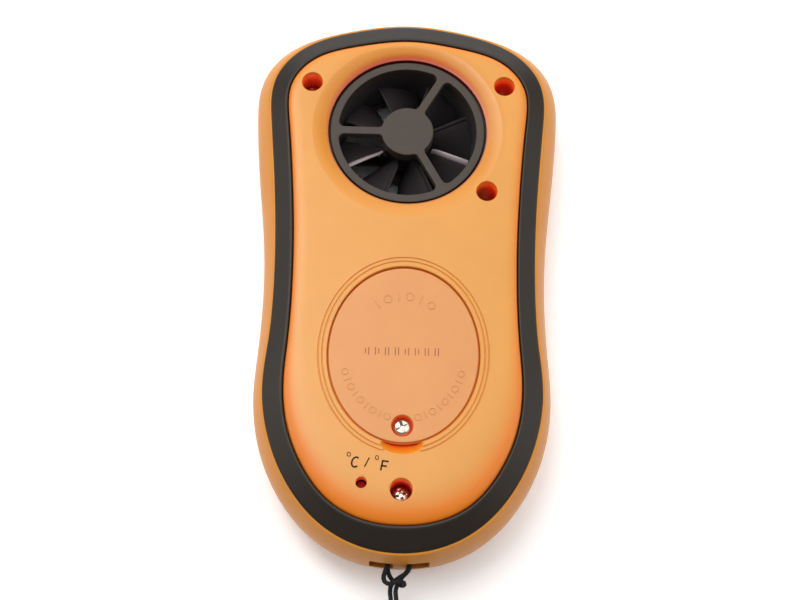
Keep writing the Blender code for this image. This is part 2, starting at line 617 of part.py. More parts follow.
def blade(turn):
    """Return one twisted blade as a stack of four-cornered sections from the hub to the tip."""
    rings = []
    stations = 6
    for i in range(stations):
        out = i / (stations - 1)
        radius = BLADE_ROOT_R + (BLADE_TIP_R - BLADE_ROOT_R) * out
        pitch = ROOT_PITCH + (TIP_PITCH - ROOT_PITCH) * out
        half_chord = ROOT_HALF_CHORD + (TIP_HALF_CHORD - ROOT_HALF_CHORD) * out
        along = (math.cos(pitch) * half_chord, math.sin(pitch) * half_chord)
        across = (-math.sin(pitch) * BLADE_THICKNESS / 2, math.cos(pitch) * BLADE_THICKNESS / 2)
        section = []
        for a, b in ((-1, -1), (1, -1), (1, 1), (-1, 1)):
            sideways = a * along[0] + b * across[0]
            height = a * along[1] + b * across[1]
            angle = turn + sideways / max(radius, 6.0)
            section.append((
                DUCT_X + radius * math.cos(angle),
                DUCT_Y + radius * math.sin(angle),
                BLADE_MIDDLE_Z + height,
            ))
        rings.append(section)
    return rings


def make_impeller(axle):
    """Impeller, its shaft and its magnet, turning together; the bearings stay in the guards."""
    centre = (DUCT_X, DUCT_Y)
    pivot = (*centre, 0)
    profile = [(HUB_R - 0.5, HUB_LOW_Z), (HUB_R, HUB_LOW_Z + 0.5), (HUB_R, HUB_HIGH_Z)]
    hub = build("impeller", [turned(centre, profile)], pivot=pivot)
    add(hub, "blades", [blade(BLADE_START + math.tau * i / BLADES) for i in range(BLADES)])
    cut(hub, "shaft_bore", [drum(centre, SHAFT_R + 0.05, 2, 14, 24)])
    finish(hub, BLACK, 0.4, parent=axle)
    profile = [(0.35, 2.3), (SHAFT_R, 2.6), (SHAFT_R, 14.5), (0.35, 14.8)]
    shaft = build("impeller_shaft", [turned(centre, profile, 24)], pivot=pivot)
    finish(shaft, STEEL, 0.2, 1.0, parent=axle)
    profile = [(1.1, 11.5), (3.2, 11.5), (3.2, 12.7), (1.1, 12.7)]
    magnet = build("impeller_magnet", [turned(centre, profile, 24)], closed=True, pivot=pivot)
    finish(magnet, (0.2, 0.2, 0.21), 0.4, 0.8, parent=axle)
    for name, low, high in (("rear_bearing", 13.8, 15.2), ("front_bearing", 2.0, 3.4)):
        profile = [(SHAFT_R + 0.08, low), (1.6, low), (1.6, high), (SHAFT_R + 0.08, high)]
        finish(build(name, [turned(centre, profile, 24)], closed=True), (0.75, 0.6, 0.25), 0.3, 1.0)


def make_buttons():
    """Three front buttons, their plungers and the switches that they press."""
    for name, place in BUTTONS.items():
        x, y = place
        press = bpy.data.objects.new(f"{name}_press", None)
        press.location = (x * MM, y * MM, BUTTON_FACE_Z * MM)
        bpy.context.collection.objects.link(press)
        profile = [
            (2.6, BUTTON_FACE_Z), (3.5, 0.75), (BUTTON_R, 1.15), (BUTTON_R, 2.55),
            (4.8, 2.55), (4.8, 3.1),
        ]
        cap = build(f"{name}_button", [turned(place, profile)], pivot=(x, y, BUTTON_FACE_Z))
        finish(cap, (0.12, 0.12, 0.12), 0.6, parent=press)
        plunger = build(f"{name}_plunger", [drum(place, 1.5, 3.4, 5.0, 20)], pivot=(x, y, 3.4))
        finish(plunger, (0.6, 0.12, 0.08), 0.5, parent=press)
        switch = build(f"{name}_switch", [box((x - 3, y - 3, 4.4), (x + 3, y + 3, BOARD_LOW_Z - GAP))])
        cut(switch, f"{name}_switch_well", [drum(place, 1.8, 3, 5.9, 20)])
        finish(switch, NICKEL, 0.35, 0.8, smooth=False)


def make_unit_switch():
    """Recessed push switch under the pinhole, which changes the temperature unit."""
    x, y = UNIT_SWITCH
    low = BOARD_HIGH_Z + GAP
    body = build("unit_switch_body", [box((x - 2.4, y - 2.4, low), (x + 2.4, y + 2.4, 11.4))])
    cut(body, "unit_well", [drum(UNIT_SWITCH, 1.1, 10.2, 13, 20)])
    finish(body, BLACK, 0.5, smooth=False)
    press = bpy.data.objects.new("unit_press", None)
    press.location = (x * MM, y * MM, UNIT_SWITCH_TOP_Z * MM)
    bpy.context.collection.objects.link(press)
    rings = drum(UNIT_SWITCH, 0.8, 10.8, UNIT_SWITCH_TOP_Z, 20)
    plunger = build("unit_switch_plunger", [rings], pivot=(x, y, UNIT_SWITCH_TOP_Z))
    finish(plunger, (0.6, 0.12, 0.08), 0.5, parent=press)


def make_cord_tube(name, route):
    """Free stretch of cord, as a bevelled curve through a smooth line."""
    route = np.array(route)
    length = np.linalg.norm(np.diff(route, axis=0), axis=1).sum()
    points = spline_through(route, int(length / CORD_STEP), closed=False)
    curve = bpy.data.curves.new(name, "CURVE")
    curve.dimensions = "3D"
    curve.bevel_depth = CORD_R * MM
    curve.bevel_resolution = 2
    curve.use_fill_caps = True
    line = curve.splines.new("POLY")
    line.points.add(len(points) - 1)
    for target, point in zip(line.points, points):
        target.co = (*[c * MM for c in point], 1)
    piece = bpy.data.objects.new(name, curve)
    bpy.context.collection.objects.link(piece)
    finish(piece, BLACK, 0.8)


def make_lanyard():
    """Wrist cord: its hitch on the strap eye, the rest wound in a flat coil, and its end knot."""
    make_cord_tube("lanyard_cord_long", CORD_LONG)
    make_cord_tube("lanyard_cord_short", CORD_SHORT)
    inner, outer = COIL_INNER_R, COIL_OUTER_R
    profile = [(inner, 0.05), (outer, 0.05), (outer, COIL_HEIGHT), (inner, COIL_HEIGHT)]
    finish(build("lanyard_coil", [turned(COIL_CENTRE, profile, 40)], closed=True), BLACK, 0.8)
    profile = [(0.7, 0.05), (1.25, 0.5), (1.35, 1.1), (1.25, 1.7), (0.7, 2.15)]
    finish(build("lanyard_knot", [turned(COIL_CENTRE, profile, 20)]), BLACK, 0.8)


def main():
    """Build the whole meter."""
    clear_scene()
    case = outline(CASE_OUTLINE)
    band = outline(BAND_OUTER_OUTLINE)
    panel = outline(BAND_INNER_OUTLINE)
    axle = bpy.data.objects.new("impeller_axis", None)
    axle.location = (DUCT_X * MM, DUCT_Y * MM, 0)
    lift = bpy.data.objects.new("battery_door_lift", None)
    lift.location = (DOOR_CENTRE[0] * MM, DOOR_CENTRE[1] * MM, DOOR_LOW_Z * MM)
    for empty in (axle, lift):
        bpy.context.collection.objects.link(empty)
    make_front_case(case, band)
    make_rear_case(band, panel)
    make_grip_band(band, panel)
    make_battery_door(lift)
    make_screw("battery_door_screw", DOOR_SCREW, DOOR_SCREW_TOP_Z, 1.75, 0.8, 0.85, 11.0, lift)
    for name, x, y, head_top in CASE_SCREWS:
        tip = screw_floor_bottom(head_top) - 3.4
        make_screw(name, (x, y), head_top, HEAD_R, HEAD_HEIGHT, SHANK_R, max(tip, 2.7))
    make_battery()
    make_board()
    make_display()
    make_duct()
    make_guard("rear_guard", REAR_GUARD_Z, -1)
    make_guard("front_guard", FRONT_GUARD_Z, 1)
    make_impeller(axle)
    make_buttons()
    make_unit_switch()
    make_lanyard()


main()
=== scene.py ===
"""Looks of the pocket anemometer: detailed shells, guards, impeller, screws, display and wrist cord.

Lengths are millimetres in this script and become metres when a mesh is made. Places come from the
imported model's nodes wherever a node says them.
"""

import math

import bmesh
import bpy
import numpy as np
from mathutils import Matrix, Vector


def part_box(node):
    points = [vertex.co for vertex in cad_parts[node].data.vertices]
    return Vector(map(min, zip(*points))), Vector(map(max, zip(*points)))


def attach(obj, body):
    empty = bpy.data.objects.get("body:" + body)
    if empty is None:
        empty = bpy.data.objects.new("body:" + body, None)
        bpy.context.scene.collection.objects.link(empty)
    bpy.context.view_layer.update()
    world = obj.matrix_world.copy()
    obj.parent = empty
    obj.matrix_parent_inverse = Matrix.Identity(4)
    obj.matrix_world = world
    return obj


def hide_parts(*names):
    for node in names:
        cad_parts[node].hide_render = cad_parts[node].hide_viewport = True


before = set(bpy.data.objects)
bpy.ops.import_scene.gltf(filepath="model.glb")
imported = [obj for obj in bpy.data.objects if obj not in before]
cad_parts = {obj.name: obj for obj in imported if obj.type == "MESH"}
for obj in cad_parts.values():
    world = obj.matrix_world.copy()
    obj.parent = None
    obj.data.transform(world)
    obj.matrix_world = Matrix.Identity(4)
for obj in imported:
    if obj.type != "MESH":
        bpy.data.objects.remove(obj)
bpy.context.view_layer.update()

MM = 0.001
SMOOTH_POINTS = 280           # points round a case outline
ROUND = 96                    # sides of a large round shape

# The case's cross-section, as in the solids: the front's rounding, the lip and the panel.
FRONT_ROUNDING = 4.2
WALL = 2.2
LIP_WIDTH = 0.6
GAP = 0.3


def node_box(node):
    """Return a node's lowest and highest corners in millimetres."""
    low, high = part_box(node)
    return np.array(low) / MM, np.array(high) / MM


def node_centre(node):
    """Return the middle of a node's box in millimetres."""
    low, high = node_box(node)
    return (low + high) / 2


# ---------------------------------------------------------------- camera

TARGET = np.array([-0.73, -2.95, 8.75])
DISTANCE = 280.0
TILT, TURN, ROLL = math.radians(19.49), math.radians(-0.743), math.radians(1.09)
LENS = 65.62


def make_camera():
    """Camera above the meter's back, leaning towards the strap end."""
    back = Vector((math.sin(TURN), -math.sin(TILT) * math.cos(TURN), math.cos(TILT) * math.cos(TURN)))
    back.normalize()
    right = Vector((0, 1, 0)).cross(back).normalized()
    up = back.cross(right)
    rolled_right = math.cos(ROLL) * right + math.sin(ROLL) * up
    rolled_up = math.cos(ROLL) * up - math.sin(ROLL) * right
    data = bpy.data.cameras.new("camera")
    data.lens = LENS
    data.sensor_width = 36.0
    data.clip_start = 0.01
    data.clip_end = 10.0
    camera = bpy.data.objects.new("camera", data)
    place = Vector(TARGET * MM) + back * DISTANCE * MM
    turn = Matrix((rolled_right, rolled_up, back)).transposed()
    camera.matrix_world = Matrix.Translation(place) @ turn.to_4x4()
    bpy.context.scene.collection.objects.link(camera)
    bpy.context.scene.camera = camera


# ---------------------------------------------------------------- curves and loops

def spline_through(points, count, closed):
    """Return count points, evenly spaced, on a smooth cubic curve through the given points."""
    points = np.array(points, dtype=float)
    if closed:
        points = np.vstack([points, points[:1]])
    steps = np.linalg.norm(np.diff(points, axis=0), axis=1)
    knots = np.concatenate([[0.0], np.cumsum(steps)])
    last = len(points) - 1
    system = np.zeros((last + 1, last + 1))
    target = np.zeros((last + 1, points.shape[1]))
    for i in range(1, last):
        system[i, i - 1:i + 2] = steps[i - 1], 2 * (steps[i - 1] + steps[i]), steps[i]
        rise = (points[i + 1] - points[i]) / steps[i]
        target[i] = 6 * (rise - (points[i] - points[i - 1]) / steps[i - 1])
    if closed:
        system[0, 0], system[0, last] = 1, -1
        system[last, [0, 1]] = 2 * steps[0], steps[0]
        system[last, [last - 1, last]] += steps[-1], 2 * steps[-1]
        rise = (points[1] - points[0]) / steps[0]
        target[last] = 6 * (rise - (points[last] - points[last - 1]) / steps[-1])
    else:
        system[0, 0] = system[last, last] = 1
    bend = np.linalg.solve(system, target)

    def at(places):
        piece = np.clip(np.searchsorted(knots, places, side="right") - 1, 0, last - 1)
        width = steps[piece][:, None]
        ahead = (places - knots[piece])[:, None]
        behind = width - ahead
        cubic = (bend[piece] * behind**3 + bend[piece + 1] * ahead**3) / (6 * width)
        left = (points[piece] / width - bend[piece] * width / 6) * behind
        right = (points[piece + 1] / width - bend[piece + 1] * width / 6) * ahead
        return cubic + left + right

    fine = at(np.linspace(0, knots[-1], 8000))
    travelled = np.concatenate([[0.0], np.cumsum(np.linalg.norm(np.diff(fine, axis=0), axis=1))])
    wanted = np.linspace(0, travelled[-1], count, endpoint=not closed)
    return np.stack([np.interp(wanted, travelled, fine[:, k]) for k in range(points.shape[1])], axis=1)


def loop_of(node, height):
    """Return a node's only outline at a height, smoothed, anticlockwise from +Y."""
    places = np.array([v.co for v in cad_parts[node].data.vertices], dtype=float) / MM
    level = places[np.abs(places[:, 2] - height) < 0.02][:, :2]
    level = np.unique(np.round(level, 2), axis=0)
    angles = np.arctan2(-level[:, 0], level[:, 1]) % math.tau
    level = level[np.argsort(angles)]
    apart = np.linalg.norm(level - np.roll(level, 1, axis=0), axis=1)
    return spline_through(level[apart > 0.6], SMOOTH_POINTS, closed=True)


def directions(path, closed=True):
    """Return the unit direction of travel at each point of a path."""
    along = np.roll(path, -1, axis=0) - np.roll(path, 1, axis=0) if closed else np.gradient(path, axis=0)
    return along / np.linalg.norm(along, axis=1)[:, None]


def left_side(path, closed=True):
    """Return the unit direction to the left at each point of a flat path."""
    along = directions(path, closed)
    return np.column_stack([-along[:, 1], along[:, 0]])


def inset(loop, distance):
    """Move each point of an anticlockwise loop inwards by a distance."""
    loop = np.array(loop, dtype=float)
    return loop + left_side(loop) * np.reshape(distance, (-1, 1))


def ring(loop, z):
    """Lift a flat loop to a height, or to one height for each point."""
    loop = np.array(loop, dtype=float)
    return np.column_stack([loop, np.broadcast_to(z, len(loop))])


def ellipse(centre, axes, count=ROUND):
    """Return an anticlockwise elliptical loop."""
    angles = np.linspace(0, math.tau, count, endpoint=False)
    return np.column_stack([centre[0] + axes[0] * np.cos(angles), centre[1] + axes[1] * np.sin(angles)])


def circle(centre, radius, count=ROUND):
    """Return an anticlockwise circular loop."""
    return ellipse(centre, (radius, radius), count)


def turned(centre, profile, count=ROUND):
    """Return the rings of a shape turned about an upright axis from its (radius, z) profile."""
    return [ring(circle(centre, radius, count), z) for radius, z in profile]


def rectangle(low, high, radius=0.0, steps=6):
    """Return an anticlockwise rectangular loop with rounded corners."""
    corners = [(high[0], high[1], 0), (low[0], high[1], 90), (low[0], low[1], 180), (high[0], low[1], 270)]
    points = []
    for x, y, start in corners:
        cx = x - math.copysign(radius, x - (low[0] + high[0]) / 2)
        cy = y - math.copysign(radius, y - (low[1] + high[1]) / 2)
        for i in range(steps + 1):
            angle = math.radians(start + 90 * i / steps)
            points.append((cx + radius * math.cos(angle), cy + radius * math.sin(angle)))
    return np.array(points)


def arc(centre, axes, start, stop, count=20):
    """Return points along an elliptical arc, from one angle to another in degrees."""
    angles = np.radians(np.linspace(start, stop, count))
    return np.column_stack([centre[0] + axes[0] * np.cos(angles), centre[1] + axes[1] * np.sin(angles)])


# ---------------------------------------------------------------- meshes

def add_shell(mesh, rings, closed=False):
    """Skin a stack of rings: capped at both ends, or joined end to end when closed."""
    rows = [[mesh.verts.new(point) for point in np.array(one) * MM] for one in rings]
    count = len(rows[0])
    pairs = list(zip(rows, rows[1:])) + ([(rows[-1], rows[0])] if closed else [])
    for lower, upper in pairs:
        for i in range(count):
            j = (i + 1) % count
            mesh.faces.new((lower[i], lower[j], upper[j], upper[i]))
    if not closed:
        mesh.faces.new(rows[0])
        mesh.faces.new(rows[-1])


def build(name, shells, closed=False):
    """Make an object out of separate shells, each a stack of rings."""
    mesh = bmesh.new()
    for rings in shells:
        add_shell(mesh, rings, closed)
    bmesh.ops.recalc_face_normals(mesh, faces=mesh.faces)
    if mesh.calc_volume(signed=True) < 0:
        bmesh.ops.reverse_faces(mesh, faces=mesh.faces)
    data = bpy.data.meshes.new(name)
    mesh.to_mesh(data)
    mesh.free()
    piece = bpy.data.objects.new(name, data)
    bpy.context.scene.collection.objects.link(piece)
    return piece


def combine(piece, operation, shells, closed=False):
    """Apply one Boolean with a tool made of shells, and throw the tool away."""
    tool = build("tool", shells, closed)
    modifier = piece.modifiers.new("combine", "BOOLEAN")
    modifier.operation = operation
    modifier.solver = "EXACT"
    modifier.object = tool
    graph = bpy.context.evaluated_depsgraph_get()
    result = bpy.data.meshes.new_from_object(piece.evaluated_get(graph))
    old = piece.data
    piece.modifiers.clear()
    piece.data = result
    bpy.data.meshes.remove(old)
    tool_mesh = tool.data
    bpy.data.objects.remove(tool)
    bpy.data.meshes.remove(tool_mesh)


def add(piece, shells, closed=False):
    """Fuse shells onto a piece."""
    combine(piece, "UNION", shells, closed)


def cut(piece, shells, closed=False):
    """Cut shells out of a piece."""
    combine(piece, "DIFFERENCE", shells, closed)


def dress(piece, material, body, replaced=(), sharp=32):
    """Give a piece its material, shading, body, and the nodes that it stands for."""
    piece.data.materials.clear()
    piece.data.materials.append(material)
    piece.data.shade_smooth()
    piece.data.set_sharp_from_angle(angle=math.radians(sharp))
    normals = piece.modifiers.new("normals", "WEIGHTED_NORMAL")
    normals.keep_sharp = True
    normals.weight = 50
    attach(piece, body)
    if replaced:
        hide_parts(*replaced)
    return piece


# ---------------------------------------------------------------- materials

class Nodes:
    """A material's node tree, with short calls for what the finishes share."""

    def __init__(self, name):
        self.material = bpy.data.materials.new(name)
        self.material.use_nodes = True
        self.tree = self.material.node_tree
        self.shader = self.tree.nodes["Principled BSDF"]
        self.coordinates = self.tree.nodes.new("ShaderNodeTexCoord").outputs["Object"]

    def new(self, kind, **inputs):
        """Add a node and set its inputs by name."""
        node = self.tree.nodes.new(kind)
        for key, value in inputs.items():
            node.inputs[key.replace("_", " ")].default_value = value
        return node

    def link(self, source, target):
        """Join an output to an input."""
        self.tree.links.new(source, target)

    def noise(self, scale, detail=3.0, roughness=0.55):
        """Return a noise value at a scale in features for each metre."""
        node = self.new("ShaderNodeTexNoise", Scale=scale, Detail=detail, Roughness=roughness)
        self.link(self.coordinates, node.inputs["Vector"])
        return node.outputs["Fac"]

    def ramp(self, value, stops):
        """Map a value through (place, colour) stops."""
        node = self.tree.nodes.new("ShaderNodeValToRGB")
        elements = node.color_ramp.elements
        elements[0].position, elements[0].color = stops[0][0], (*stops[0][1], 1)
        elements[1].position, elements[1].color = stops[-1][0], (*stops[-1][1], 1)
        for place, colour in stops[1:-1]:
            elements.new(place).color = (*colour, 1)
        self.link(value, node.inputs["Fac"])
        return node.outputs["Color"]

    def spread(self, value, low, high):
        """Map a 0 to 1 value onto low to high."""
        node = self.new("ShaderNodeMapRange", To_Min=low, To_Max=high)
        self.link(value, node.inputs["Value"])
        return node.outputs["Result"]

    def between(self, value, start, end):
        """Map a value onto 0 at its start and 1 at its end."""
        node = self.new("ShaderNodeMapRange", From_Min=start, From_Max=end)
        self.link(value, node.inputs["Value"])
        return node.outputs["Result"]

    def vector(self, operation, first, second):
        """Return a vector sum of a socket and a fixed vector, or the one number that it comes to."""
        node = self.new("ShaderNodeVectorMath")
        node.operation = operation
        self.link(first, node.inputs[0])
        node.inputs[1].default_value = second
        return node.outputs["Value" if operation in ("DISTANCE", "LENGTH") else "Vector"]

    def depth(self, upper, lower):
        """Return 0 at and above one height and 1 at and below another."""
        split = self.new("ShaderNodeSeparateXYZ")
        self.link(self.coordinates, split.inputs["Vector"])
        return self.between(split.outputs["Z"], upper * MM, lower * MM)

    def near_axis(self, centre, inner, outer):
        """Return 1 inside an upright cylinder's inner radius, fading to 0 at its outer radius."""
        flat = self.vector("MULTIPLY", self.coordinates, (1, 1, 0))
        apart = self.vector("DISTANCE", flat, (centre[0] * MM, centre[1] * MM, 0))
        return self.between(apart, outer * MM, inner * MM)

    def inside(self, centre, axes):
        """Return 1 in the middle of an ellipsoid, fading to 0 over the last part of the way to its skin."""
        moved = self.vector("SUBTRACT", self.coordinates, [c * MM for c in centre])
        scaled = self.vector("DIVIDE", moved, [a * MM for a in axes])
        return self.between(self.vector("LENGTH", scaled, (0, 0, 0)), 1.0, 0.85)

    def both(self, first, second, operation="MULTIPLY"):
        """Return the product of two masks, or the larger one with MAXIMUM."""
        node = self.new("ShaderNodeMath")
        node.operation = operation
        self.link(first, node.inputs[0])
        self.link(second, node.inputs[1])
        return node.outputs["Value"]

    def mix(self, amount, first, second):
        """Mix two colours by an amount that varies over the surface."""
        node = self.tree.nodes.new("ShaderNodeMix")
        node.data_type = "RGBA"
        for socket, value in ((node.inputs[0], amount), (node.inputs[6], first), (node.inputs[7], second)):
            if isinstance(value, bpy.types.NodeSocket):
                self.link(value, socket)
            else:
                socket.default_value = value
        return node.outputs[2]

    def bump(self, height, distance, strength=1.0, below=None):
        """Add a bump of a height in metres, over another bump if one is given."""
        node = self.new("ShaderNodeBump", Strength=strength, Distance=distance)
        self.link(height, node.inputs["Height"])
        if below:
            self.link(below, node.inputs["Normal"])
        return node.outputs["Normal"]

    def paint(self, colour=None, roughness=None, normal=None, **fixed):
        """Wire the shader's varying inputs and set its fixed ones."""
        for key, source in (("Base Color", colour), ("Roughness", roughness), ("Normal", normal)):
            if source is not None:
                self.link(source, self.shader.inputs[key])
        for key, value in fixed.items():
            self.shader.inputs[key.replace("_", " ")].default_value = value
        return self.material


def shade(colour, factor):
    """Return a colour made lighter or darker."""
    return tuple(min(1.0, c * factor) for c in colour)


def plastic(name, colour, roughness, grain=0.0, variation=0.06, scale=90.0, depth_shading=(), painted_shades=(), glow=None,
            **fixed):
    """Moulded plastic: slow colour drift, fine spark texture and uneven gloss.

    The depth list holds (upper z, lower z, colour): painted shade that turns edges and hollows a
    deeper, redder orange, more from each upper height to its lower one, standing in for light that
    comes through the plastic. The mask list holds (mask maker, colour): painted shade for hollows that
    a height doesn't tell. Glow is a mask maker for an emission: a painted glow on walls, standing in
    for light that passes on from inside the plastic.
    """
    nodes = Nodes(name)
    drift = nodes.noise(scale, 4.0)
    tone = nodes.ramp(drift, [(0.3, shade(colour, 1 - variation)), (0.7, shade(colour, 1 + variation))])
    # Painted shade: colours mixed in by height and by masks.
    for upper, lower, tint in depth_shading:
        tone = nodes.mix(nodes.depth(upper, lower), tone, (*tint, 1))
    for mask, tint in painted_shades:
        tone = nodes.mix(mask(nodes), tone, (*tint, 1))
    # Painted glow: an emission on the masked walls, though the plastic is no lamp.
    if glow:
        nodes.shader.inputs["Emission Color"].default_value = (*PAINTED_GLOW_COLOUR, 1)
        nodes.link(nodes.spread(glow(nodes), 0.0, PAINTED_GLOW_STRENGTH), nodes.shader.inputs["Emission Strength"])
    gloss = nodes.spread(nodes.noise(scale * 9, 3.0), roughness * 0.86, roughness * 1.16)
    fine = nodes.bump(nodes.noise(5200.0, 2.0), 0.00001, 0.25 + grain)
    broad = nodes.bump(nodes.noise(420.0, 2.0), 0.00002, 0.12, below=fine)
    return nodes.paint(tone, gloss, broad, **fixed)


def metal(name, colour, roughness, brushed=False):
    """Plated or turned metal with fine wear and uneven gloss."""
    nodes = Nodes(name)
    stretch = nodes.new("ShaderNodeMapping")
    nodes.link(nodes.coordinates, stretch.inputs["Vector"])
    stretch.inputs["Scale"].default_value = (1, 14 if brushed else 1, 1)
    node = nodes.new("ShaderNodeTexNoise", Scale=1500.0, Detail=4.0, Roughness=0.6)
    nodes.link(stretch.outputs["Vector"], node.inputs["Vector"])
    value = node.outputs["Fac"]
    tone = nodes.ramp(value, [(0.3, shade(colour, 0.82)), (0.7, colour)])
    gloss = nodes.spread(value, roughness * 0.7, roughness * 1.4)
    return nodes.paint(tone, gloss, nodes.bump(value, 0.00001, 0.3), Metallic=1.0)


ORANGE = (0.60, 0.250, 0.028)
# Painted shade on the panel's rounded edge, below its top face.
EDGE_SHADE_ORANGE = (0.66, 0.17, 0.004)
# Painted shade in hollows: the panel's deep walls, the door's sides and the hollow behind the strap post.
HOLLOW_SHADE_ORANGE = (0.85, 0.085, 0.012)
# Painted shade on the wall of the impeller opening.
OPENING_SHADE_RED = (0.22, 0.010, 0.004)
# Painted shade in the battery door's recess.
BAY_SHADE_ORANGE = (0.60, 0.19, 0.014)
# Painted shade on the dish round the impeller opening, heavier on its +Y side.
DISH_SHADE_ORANGE = (0.56, 0.195, 0.004)
# Painted shade in the gap ring round the impeller opening, on its +Y side.
GAP_SHADE_RED = (0.46, 0.045, 0.003)
# Painted glow in the walls of the screw wells and the pinhole.
PAINTED_GLOW_COLOUR = (1.0, 0.13, 0.025)
PAINTED_GLOW_STRENGTH = 0.27
GLOW = {"Subsurface_Weight": 0.12, "Subsurface_Radius": (1.0, 0.22, 0.07), "Subsurface_Scale": 0.002}


def painted_well_glow(nodes, wells):
    """Return a mask of the upper walls of round wells for a painted glow, strongest just below their mouths.
    """
    found = None
    for node, radius in wells:
        well = nodes.near_axis(node_centre(node), radius + 0.3, radius + 0.5)
        found = nodes.both(found, well, "MAXIMUM") if found else well
    band = nodes.both(nodes.depth(17.35, 16.7), nodes.depth(14.2, 16.4))
    return nodes.both(found, band)


def make_materials():
    """Return every finish by name."""
    made = {}
    duct = node_centre("impeller_duct")
    # The dish's painted shade is centred 0.8 mm towards +Y, so it falls heavier on that side of the dish and
    # its gap.
    upper = duct + [0, 0.8, 0]
    bay = node_centre("battery_door")
    wells = [(screw, WELL_R) for screw in SCREWS] + [("unit_switch_plunger", PINHOLE_R)]
    # The case's hollow behind the strap post gets painted shade.
    made["case"] = plastic("case_orange", (0.54, 0.195, 0.011), 0.42, grain=0.1, variation=0.03,
                           painted_shades=((lambda n: n.inside((0, -51.2, 10.3), (5.9, 1.5, 2.4)), HOLLOW_SHADE_ORANGE),),
                           Specular_IOR_Level=0.32)
    made["panel"] = plastic("panel_orange", ORANGE, 0.36, grain=0.12, variation=0.035,
                            # Painted shade on the panel's rounded edge and, deeper down, on its walls.
                            depth_shading=((17.47, 17.1, EDGE_SHADE_ORANGE), (16.6, 15.8, HOLLOW_SHADE_ORANGE)),
                            # Over the dish the plain orange is put back, clearing the painted edge shade
                            # there.
                            painted_shades=((lambda n: n.near_axis(duct, 18.6, 18.9), ORANGE),
                                   # Painted shade on the dish, heavier on its +Y side.
                                   (lambda n: n.near_axis(upper, 16.5, 19.5), DISH_SHADE_ORANGE),
                                   # Painted shade in the gap ring, on the opening's +Y side.
                                   (lambda n: n.near_axis(upper, 14.85, 16.2), GAP_SHADE_RED),
                                   # Painted shade on the wall of the impeller opening.
                                   (lambda n: n.both(n.near_axis(duct, 15.5, 16.2), n.depth(16.55, 16.2)),
                                    OPENING_SHADE_RED),
                                   # Painted shade in the battery door's recess.
                                   (lambda n: n.both(n.inside(bay, (14.6, 17.6, 60)), n.depth(16.0, 15.7)),
                                    BAY_SHADE_ORANGE)),
                            # Painted glow on the walls of the screw wells and the pinhole.
                            glow=lambda n: painted_well_glow(n, wells),
                            Specular_IOR_Level=0.5, **GLOW)
    # The door's sides get painted shade, and its screw well a painted glow.
    made["door"] = plastic("door_orange", (0.58, 0.228, 0.052), 0.40, grain=0.12, variation=0.03,
                           depth_shading=((17.25, 16.4, HOLLOW_SHADE_ORANGE),),
                           glow=lambda n: painted_well_glow(n, [("battery_door_screw", WELL_R)]),
                           Specular_IOR_Level=0.5, **GLOW)
    made["rubber"] = plastic("band_rubber", (0.014, 0.009, 0.005), 0.42, grain=0.4, variation=0.12,
                             Specular_IOR_Level=0.33)
    made["guard"] = plastic("guard_grey", (0.040, 0.028, 0.019), 0.55, grain=0.4, variation=0.06,
                            Specular_IOR_Level=0.35)
    made["duct"] = plastic("duct_grey", (0.040, 0.032, 0.033), 0.6, grain=0.3, variation=0.1,
                           Specular_IOR_Level=0.3)
    made["impeller"] = plastic("impeller_black", (0.020, 0.0155, 0.0165), 0.6, variation=0.12,
                               Specular_IOR_Level=0.15)
    # Painted highlight: a pale finish for the edge beads of chosen blades, standing in for glints of light.
    made["impeller_glint_paint"] = plastic("impeller_painted_glint_edge", (0.27, 0.22, 0.225), 0.4, variation=0.2)
    made["steel"] = metal("screw_plating", (0.62, 0.58, 0.48), 0.16)
    made["brass"] = metal("bearing_brass", (0.72, 0.5, 0.2), 0.25)
    made["nickel"] = metal("spring_nickel", (0.68, 0.65, 0.58), 0.3, brushed=True)
    made["cell"] = metal("cell_steel", (0.74, 0.74, 0.73), 0.28, brushed=True)
    made["magnet"] = metal("magnet_dark", (0.16, 0.16, 0.17), 0.4)
    made["chip"] = plastic("chip_epoxy", (0.018, 0.018, 0.019), 0.6, grain=0.6)
    made["seal"] = plastic("seal_rubber", (0.012, 0.012, 0.012), 0.7, grain=0.4)
    made["white"] = plastic("frame_white", (0.7, 0.68, 0.62), 0.5, grain=0.3)
    made["button"] = plastic("button_rubber", (0.035, 0.033, 0.031), 0.55, grain=0.5, variation=0.1)
    made["red"] = plastic("plunger_red", (0.30, 0.012, 0.010), 0.6, grain=0.2, Specular_IOR_Level=0.1)
    made["ink"] = plastic("printed_ink", (0.045, 0.012, 0.006), 0.75, variation=0.2, Specular_IOR_Level=0.15)
    made["pale_ink"] = plastic("pale_ink", (0.75, 0.73, 0.7), 0.55, variation=0.05)
    made["soft_ink"] = plastic("faded_ink", (0.33, 0.085, 0.03), 0.6, variation=0.2)
    made["board"] = make_board_material()
    made["cord"] = make_cord_material()
    made["lcd"] = plastic("lcd_glass", (0.36, 0.42, 0.33), 0.12, variation=0.04)
    made["segment"] = plastic("lcd_segment", (0.2, 0.24, 0.19), 0.2, variation=0.05)
    made["window"] = make_window_material()
    return made


def make_board_material():
    """Solder mask with faint tracks and a fine weave beneath."""
    nodes = Nodes("board_mask")
    cells = nodes.new("ShaderNodeTexVoronoi", Scale=420.0)
    cells.distance = "MANHATTAN"
    nodes.link(nodes.coordinates, cells.inputs["Vector"])
    tracks = nodes.ramp(cells.outputs["Distance"], [(0.1, (0.012, 0.11, 0.04)), (0.5, (0.006, 0.06, 0.022))])
    weave = nodes.new("ShaderNodeTexWave", Scale=2200.0)
    nodes.link(nodes.coordinates, weave.inputs["Vector"])
    gloss = nodes.spread(weave.outputs["Fac"], 0.25, 0.4)
    return nodes.paint(tracks, gloss, nodes.bump(cells.outputs["Distance"], 0.00002, 0.4))


